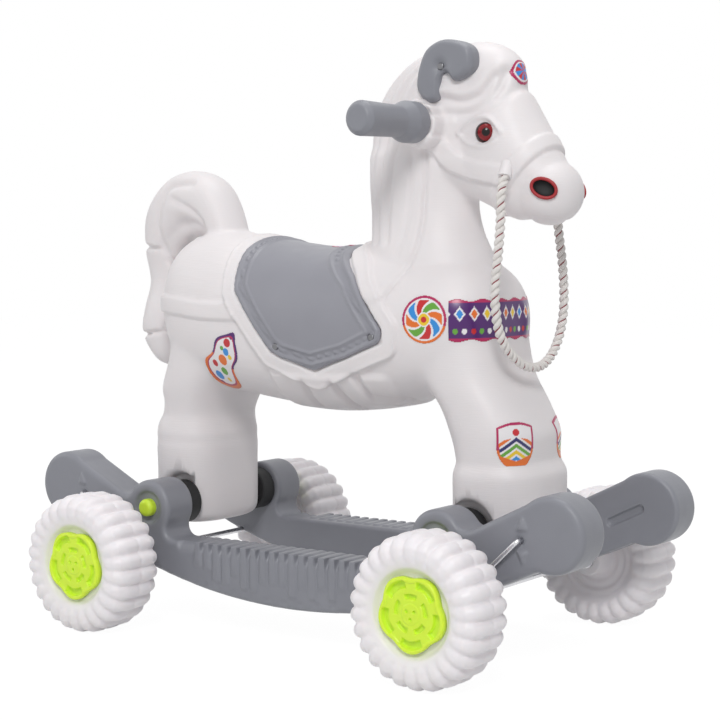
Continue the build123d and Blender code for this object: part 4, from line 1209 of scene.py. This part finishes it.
def label(name, surface, ray, half_width, half_height, ink, spacing=0.6):
    """Casts a grid onto a surface and keeps the cells where ink(u, v) gives a colour's name."""
    columns, rows = int(2 * half_width / spacing), int(2 * half_height / spacing)
    grid, vertices, colours = {}, [], []
    for column in range(columns + 1):
        for row in range(rows + 1):
            u = -half_width + 2 * half_width * column / columns
            v = -half_height + 2 * half_height * row / rows
            colour = ink(u, v)
            if colour is None:
                continue
            start, direction = ray(u, v)
            hit, normal, _, _ = surface.ray_cast(start, direction, LABEL_RAY)
            if hit is None:
                continue
            grid[column, row] = len(vertices)
            vertices.append(hit + normal * LABEL_LIFT)
            colours.append((*INKS[colour], 1))
    faces = []
    for column, row in grid:
        corners = [(column, row), (column + 1, row), (column + 1, row + 1), (column, row + 1)]
        if all(corner in grid for corner in corners):
            face = [grid[corner] for corner in corners]
            a, b, c = (vertices[index] for index in face[:3])
            outward = (b - a).cross(c - b).dot(-ray(0, 0)[1]) > 0
            faces.append(face if outward else face[::-1])
    made = add_object(name, vertices, faces, label_material)
    attribute = made.data.color_attributes.new("ink", "FLOAT_COLOR", "POINT")
    attribute.data.foreach_set("color", [value for colour in colours for value in colour])
    apply_modifier(made, "SOLIDIFY", thickness=LABEL_THICKNESS, offset=-1)
    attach(made, "horse")
    print(name, len(made.data.polygons), "faces")
    return made


print("label tools ready")

# %% Motifs


def pinwheel(u, v):
    """A round label: a coloured edge, a white ground, eight curved blades and a middle."""
    reach, turn = hypot(u, v), atan2(v, u)
    if reach > 24:
        return None
    if reach > 21.2:
        return "magenta" if v > -6 else "orange"
    if reach > 19.6 or 6.0 < reach < 7.2:
        return "white"
    if reach < 3.0:
        return "red"
    if reach < 6.0:
        return "yellow"
    blade = (turn + reach * 0.055) % (2 * pi) / (pi / 4)
    if blade % 1 > 0.74:
        return "white"
    return ("blue", "orange", "green", "red")[int(blade) % 4]


def diamonds(u, v):
    """A long label: a purple ground with rows of diamonds and dots between two edges."""
    if abs(v) > 20.5 + 1.2 * sin(u * 0.21):
        return None
    if abs(v) > 17.5:
        return "magenta"
    cell_u, cell_v = (u + 8) % 16 - 8, v - 6.5
    if abs(cell_u) / 6.4 + abs(cell_v) / 8.0 < 0.62:
        return ("yellow", "blue", "orange")[int((u + 8) // 16) % 3]
    if abs(cell_u) / 6.4 + abs(cell_v) / 8.0 < 0.95:
        return "white"
    dot_u = u % 10 - 5
    if hypot(dot_u, v + 10.5) < 2.9:
        return ("green", "white", "red")[int(u // 10) % 3]
    return "purple"


def chevrons(u, v):
    """A shield-shaped label with three chevrons and a dot."""
    width = 20 * (1 - (max(-v - 4, 0) / 24) ** 2) ** 0.5 if v > -28 else 0
    if abs(u) > width or v > 19 - 0.012 * u * u:
        return None
    if abs(u) > width - 2.8 or v > 16.2 - 0.012 * u * u or v < -19.5 + abs(u) * 0.35:
        return "magenta" if v > -8 else "orange"
    if hypot(u, v - 9) < 3.6:
        return "red"
    stripe = (v + 0.7 * abs(u) + 18) / 6.2
    if v < 4.5 - 0.2 * abs(u) and stripe % 1 < 0.62:
        return ("blue", "yellow", "green", "navy", "orange")[int(stripe) % 5]
    return "white"


def spotted(u, v):
    """A slanted drop-shaped label with coloured spots on white."""
    along, beside = u * 0.62 + v * 0.785, -u * 0.785 + v * 0.62
    edge = 19 - 0.16 * along - 3.2 * cos(along * 0.16)
    reach = hypot(along / 40, beside / edge)
    if reach > 1:
        return None
    if reach > 0.86:
        return "purple" if along > 0 else "orange"
    if reach > 0.80:
        return "magenta"
    for spot_u, spot_v, radius, colour in (
        (-16, -17, 5.2, "blue"), (-4, -12, 4.4, "green"), (-13, -3, 3.8, "red"), (1, 1, 6.0, "orange"),
        (9, 10, 4.2, "blue"), (13, 20, 4.8, "red"), (4, 14, 2.6, "green"), (-21, -26, 3.0, "navy"),
        (-5, -22, 2.6, "yellow"), (13, 4, 2.8, "yellow"), (20, 26, 2.4, "navy"),
    ):
        if hypot(u - spot_u, v - spot_v) < radius:
            return colour
    return "white"


def small_round(u, v):
    """A small oval label with six rays."""
    reach = hypot(u / 1.25, v)
    if reach > 12:
        return None
    if reach > 9.6:
        return "magenta"
    if reach > 8.2:
        return "white"
    return "blue" if (atan2(v, u) / (pi / 3)) % 1 < 0.5 else "red"


print("motifs ready")

# %% Stick the labels on


def round_chest(u, v):
    """Rays towards the chest's upright middle line. u is measured round the chest."""
    turn = u / 82
    out = Vector((cos(turn), sin(turn), 0))
    return (Vector((142, 0, 340 + v)) + out * 130) * MM, -out


label("chest_band", skin_surface, round_chest, 92, 22, diamonds, 0.8)
for side_name, side in SIDES:
    rays = straight_rays((150, side * 73, 341), (0.25, side, 0), (1, 0, 0))
    label(f"chest_wheel_{side_name}", skin_surface, rays, 24.5, 24.5, pinwheel)
    rays = straight_rays((-115, side * 75, 291), (0, side, 0), (1, 0, 0))
    label(f"thigh_label_{side_name}", skin_surface, rays, 42, 42, spotted)
    rays = straight_rays((238, side * 44, 221), (0.72, side * 0.69, 0), (-side, 0, 0))
    label(f"leg_label_{side_name}", skin_surface, rays, 22, 24, chevrons)
rays = straight_rays((218, 0, 586), (0.85, 0, 0.5), (0, 1, 0))
label("forehead_label", skin_surface, rays, 15, 12, small_round)
rays = straight_rays((-4, 0, 410), (0, 0, 1), (1, 0, 0))
label("seat_label", saddle_surface, rays, 15, 12, small_round)

# %% [markdown]
# ## Rein rope
# The rein is a soft rope that hangs in a loop between the two sides of the muzzle. A plain tube with
# a bump would look flat up close, so two fat strands and a thin red tracer are laid round one smooth
# line. The line is a NURBS curve whose control points are the rope's route.

# %% Route of the rope
ROPE_ROUTE = [
    (226, -45, 481), (227, -54, 466), (228, -55, 444), (229, -60, 418), (229, -65, 392),
    (229, -69, 366), (229, -66, 340), (229, -54, 318), (230, -33, 301), (231, -8, 291),
    (231, 18, 291), (230, 41, 302), (229, 58, 321), (229, 66, 346), (229, 66, 373),
    (229, 62, 400), (228, 57, 426), (227, 55, 448), (226, 54, 466), (226, 45, 481),
]
route_curve = bpy.data.curves.new("rope_route", "CURVE")
route_curve.dimensions = "3D"
route_curve.resolution_u = 24
route = route_curve.splines.new("NURBS")
route.points.add(len(ROPE_ROUTE) - 1)
for point, place in zip(route.points, ROPE_ROUTE):
    point.co = (*(value * MM for value in place), 1)
route.order_u = 3
route.use_endpoint_u = True
route_object = bpy.data.objects.new("rope_route", route_curve)
bpy.context.collection.objects.link(route_object)
graph = bpy.context.evaluated_depsgraph_get()
route_mesh = bpy.data.meshes.new_from_object(route_object.evaluated_get(graph), depsgraph=graph)
route_points = [vertex.co.copy() for vertex in route_mesh.vertices]
bpy.data.objects.remove(route_object)

# %% Strands of the rope
STRAND_LAY = 0.0152
STRAND_RADIUS = 0.0026
STRAND_OFFSET = 0.0024
TRACER_RADIUS = 0.0009
TRACER_OFFSET = 0.0027


def evenly(points, spacing):
    """Points at even distances along a polyline, with the distance travelled to each."""
    distances = [0.0]
    for a, b in zip(points, points[1:]):
        distances.append(distances[-1] + (b - a).length)
    count = int(distances[-1] / spacing)
    out = []
    spot = 0
    for number in range(count + 1):
        want = distances[-1] * number / count
        while spot < len(points) - 2 and distances[spot + 1] < want:
            spot += 1
        span = distances[spot + 1] - distances[spot]
        t = (want - distances[spot]) / span if span else 0
        out.append((points[spot].lerp(points[spot + 1], t), want))
    return out


def frames_along(spots):
    """For each point of a line, two directions square to it that turn as little as possible."""
    side_way = Vector((1, 0, 0))
    out = []
    for number, (place, travelled) in enumerate(spots):
        before = spots[max(number - 1, 0)][0]
        after = spots[min(number + 1, len(spots) - 1)][0]
        ahead = (after - before).normalized()
        side_way = (side_way - ahead * side_way.dot(ahead)).normalized()
        out.append((place, travelled, side_way, ahead.cross(side_way)))
    return out


def strand(line, phase, offset, radius, sides=12):
    """A strand wound round the line."""
    centres = []
    for place, travelled, u, v in line:
        turn = 2 * pi * travelled / STRAND_LAY + phase
        centres.append(place + (u * cos(turn) + v * sin(turn)) * offset)
    rings = []
    for number, centre in enumerate(centres):
        before = centres[max(number - 1, 0)]
        after = centres[min(number + 1, len(centres) - 1)]
        ahead = (after - before).normalized()
        u = (Vector((1, 0, 0)) - ahead * ahead.x).normalized()
        v = ahead.cross(u)
        rings.append([
            centre + (u * cos(2 * pi * s / sides) + v * sin(2 * pi * s / sides)) * radius
            for s in range(sides)
        ])
    return tube_skin(rings)


rope_line = frames_along(evenly(route_points, 0.0008))
rope_white = finish_with(
    "rope_white", (0.80, 0.765, 0.735), 0.78, 0.0006,
    mottle=0.08, mottle_scale=260, pebbles=0.6, pebble_scale=1500,
)
rope_white.node_tree.nodes["Principled BSDF"].inputs["Sheen Weight"].default_value = 0.3
tracer_red = finish_with("rope_tracer", (0.26, 0.03, 0.045), 0.8, mottle=0.2, mottle_scale=300)

skins = [strand(rope_line, phase, STRAND_OFFSET, STRAND_RADIUS) for phase in (0, pi)]
strand_faces = sum(len(faces) for _, faces in skins)
skins.append(strand(rope_line, pi / 2, TRACER_OFFSET, TRACER_RADIUS, 6))
rope = add_object("rope_strands", *joined(skins), rope_white)
rope.data.materials.append(tracer_red)
for face in rope.data.polygons:
    face.material_index = 0 if face.index < strand_faces else 1
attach(rope, "horse")
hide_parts("rein_rope")
print("rope faces", len(rope.data.polygons))

# %% [markdown]
# ## Studio
# A toy like this is photographed on white paper. The floor and the world look pure white to the
# camera and to mirrors, but light the model softly, so its own whites keep their shading.

# %% Floor, world and lights


def seen_directly(tree, links):
    """A factor that is 1 for rays from the camera, from a gloss and through glass, else 0."""
    path = tree.new("ShaderNodeLightPath")
    total = None
    for ray in ("Is Camera Ray", "Is Glossy Ray", "Is Transmission Ray"):
        if total is None:
            total = path.outputs[ray]
            continue
        add = tree.new("ShaderNodeMath")
        add.operation = "MAXIMUM"
        links.new(total, add.inputs[0])
        links.new(path.outputs[ray], add.inputs[1])
        total = add.outputs[0]
    return total


floor_material, floor_tree, floor_links = new_material("floor")
floor_shader = floor_tree["Principled BSDF"]
floor_shader.inputs["Base Color"].default_value = (0.80, 0.80, 0.80, 1)
floor_shader.inputs["Roughness"].default_value = 0.95
paper = floor_tree.new("ShaderNodeEmission")
paper.inputs["Strength"].default_value = 1.09
mostly = floor_tree.new("ShaderNodeMath")
mostly.operation = "MULTIPLY"
mostly.inputs[1].default_value = 0.88
floor_links.new(seen_directly(floor_tree, floor_links), mostly.inputs[0])
floor_mix = floor_tree.new("ShaderNodeMixShader")
floor_links.new(mostly.outputs[0], floor_mix.inputs["Fac"])
floor_links.new(floor_shader.outputs["BSDF"], floor_mix.inputs[1])
floor_links.new(paper.outputs["Emission"], floor_mix.inputs[2])
floor_links.new(floor_mix.outputs["Shader"], floor_tree["Material Output"].inputs["Surface"])
FLOOR_HALF = 6
corners = [(-FLOOR_HALF, -FLOOR_HALF, 0), (FLOOR_HALF, -FLOOR_HALF, 0), (FLOOR_HALF, FLOOR_HALF, 0),
           (-FLOOR_HALF, FLOOR_HALF, 0)]
floor = add_object("floor", corners, [(0, 1, 2, 3)], floor_material)

world = bpy.data.worlds.new("studio")
bpy.context.scene.world = world
world.use_nodes = True
world_tree, world_links = world.node_tree.nodes, world.node_tree.links
soft = world_tree["Background"]
soft.inputs["Color"].default_value = (0.97, 0.98, 1.0, 1)
soft.inputs["Strength"].default_value = 0.36
paper_white = world_tree.new("ShaderNodeBackground")
paper_white.inputs["Color"].default_value = (1, 1, 1, 1)
paper_white.inputs["Strength"].default_value = 1.0
world_mix = world_tree.new("ShaderNodeMixShader")
world_links.new(seen_directly(world_tree, world_links), world_mix.inputs["Fac"])
world_links.new(soft.outputs["Background"], world_mix.inputs[1])
world_links.new(paper_white.outputs["Background"], world_mix.inputs[2])
world_links.new(world_mix.outputs["Shader"], world_tree["World Output"].inputs["Surface"])


def area_light(name, place, target, size, power):
    """A round soft lamp that shines towards a point. The power is in watts."""
    data = bpy.data.lights.new(name, "AREA")
    data.shape = "DISK"
    data.size = size
    data.energy = power
    light = bpy.data.objects.new(name, data)
    light.location = place
    light.rotation_euler = (Vector(target) - Vector(place)).to_track_quat("-Z", "Y").to_euler()
    bpy.context.collection.objects.link(light)
    return light


area_light("key", (1.5, -2.3, 2.3), (0, 0, 0.3), 1.0, 46)
area_light("fill", (-2.4, -1.6, 1.3), (0, 0, 0.3), 1.4, 9)
area_light("top", (0.1, 0.3, 2.8), (0, 0, 0.2), 1.5, 20)
bpy.context.scene.view_settings.view_transform = "Standard"
print("studio ready")
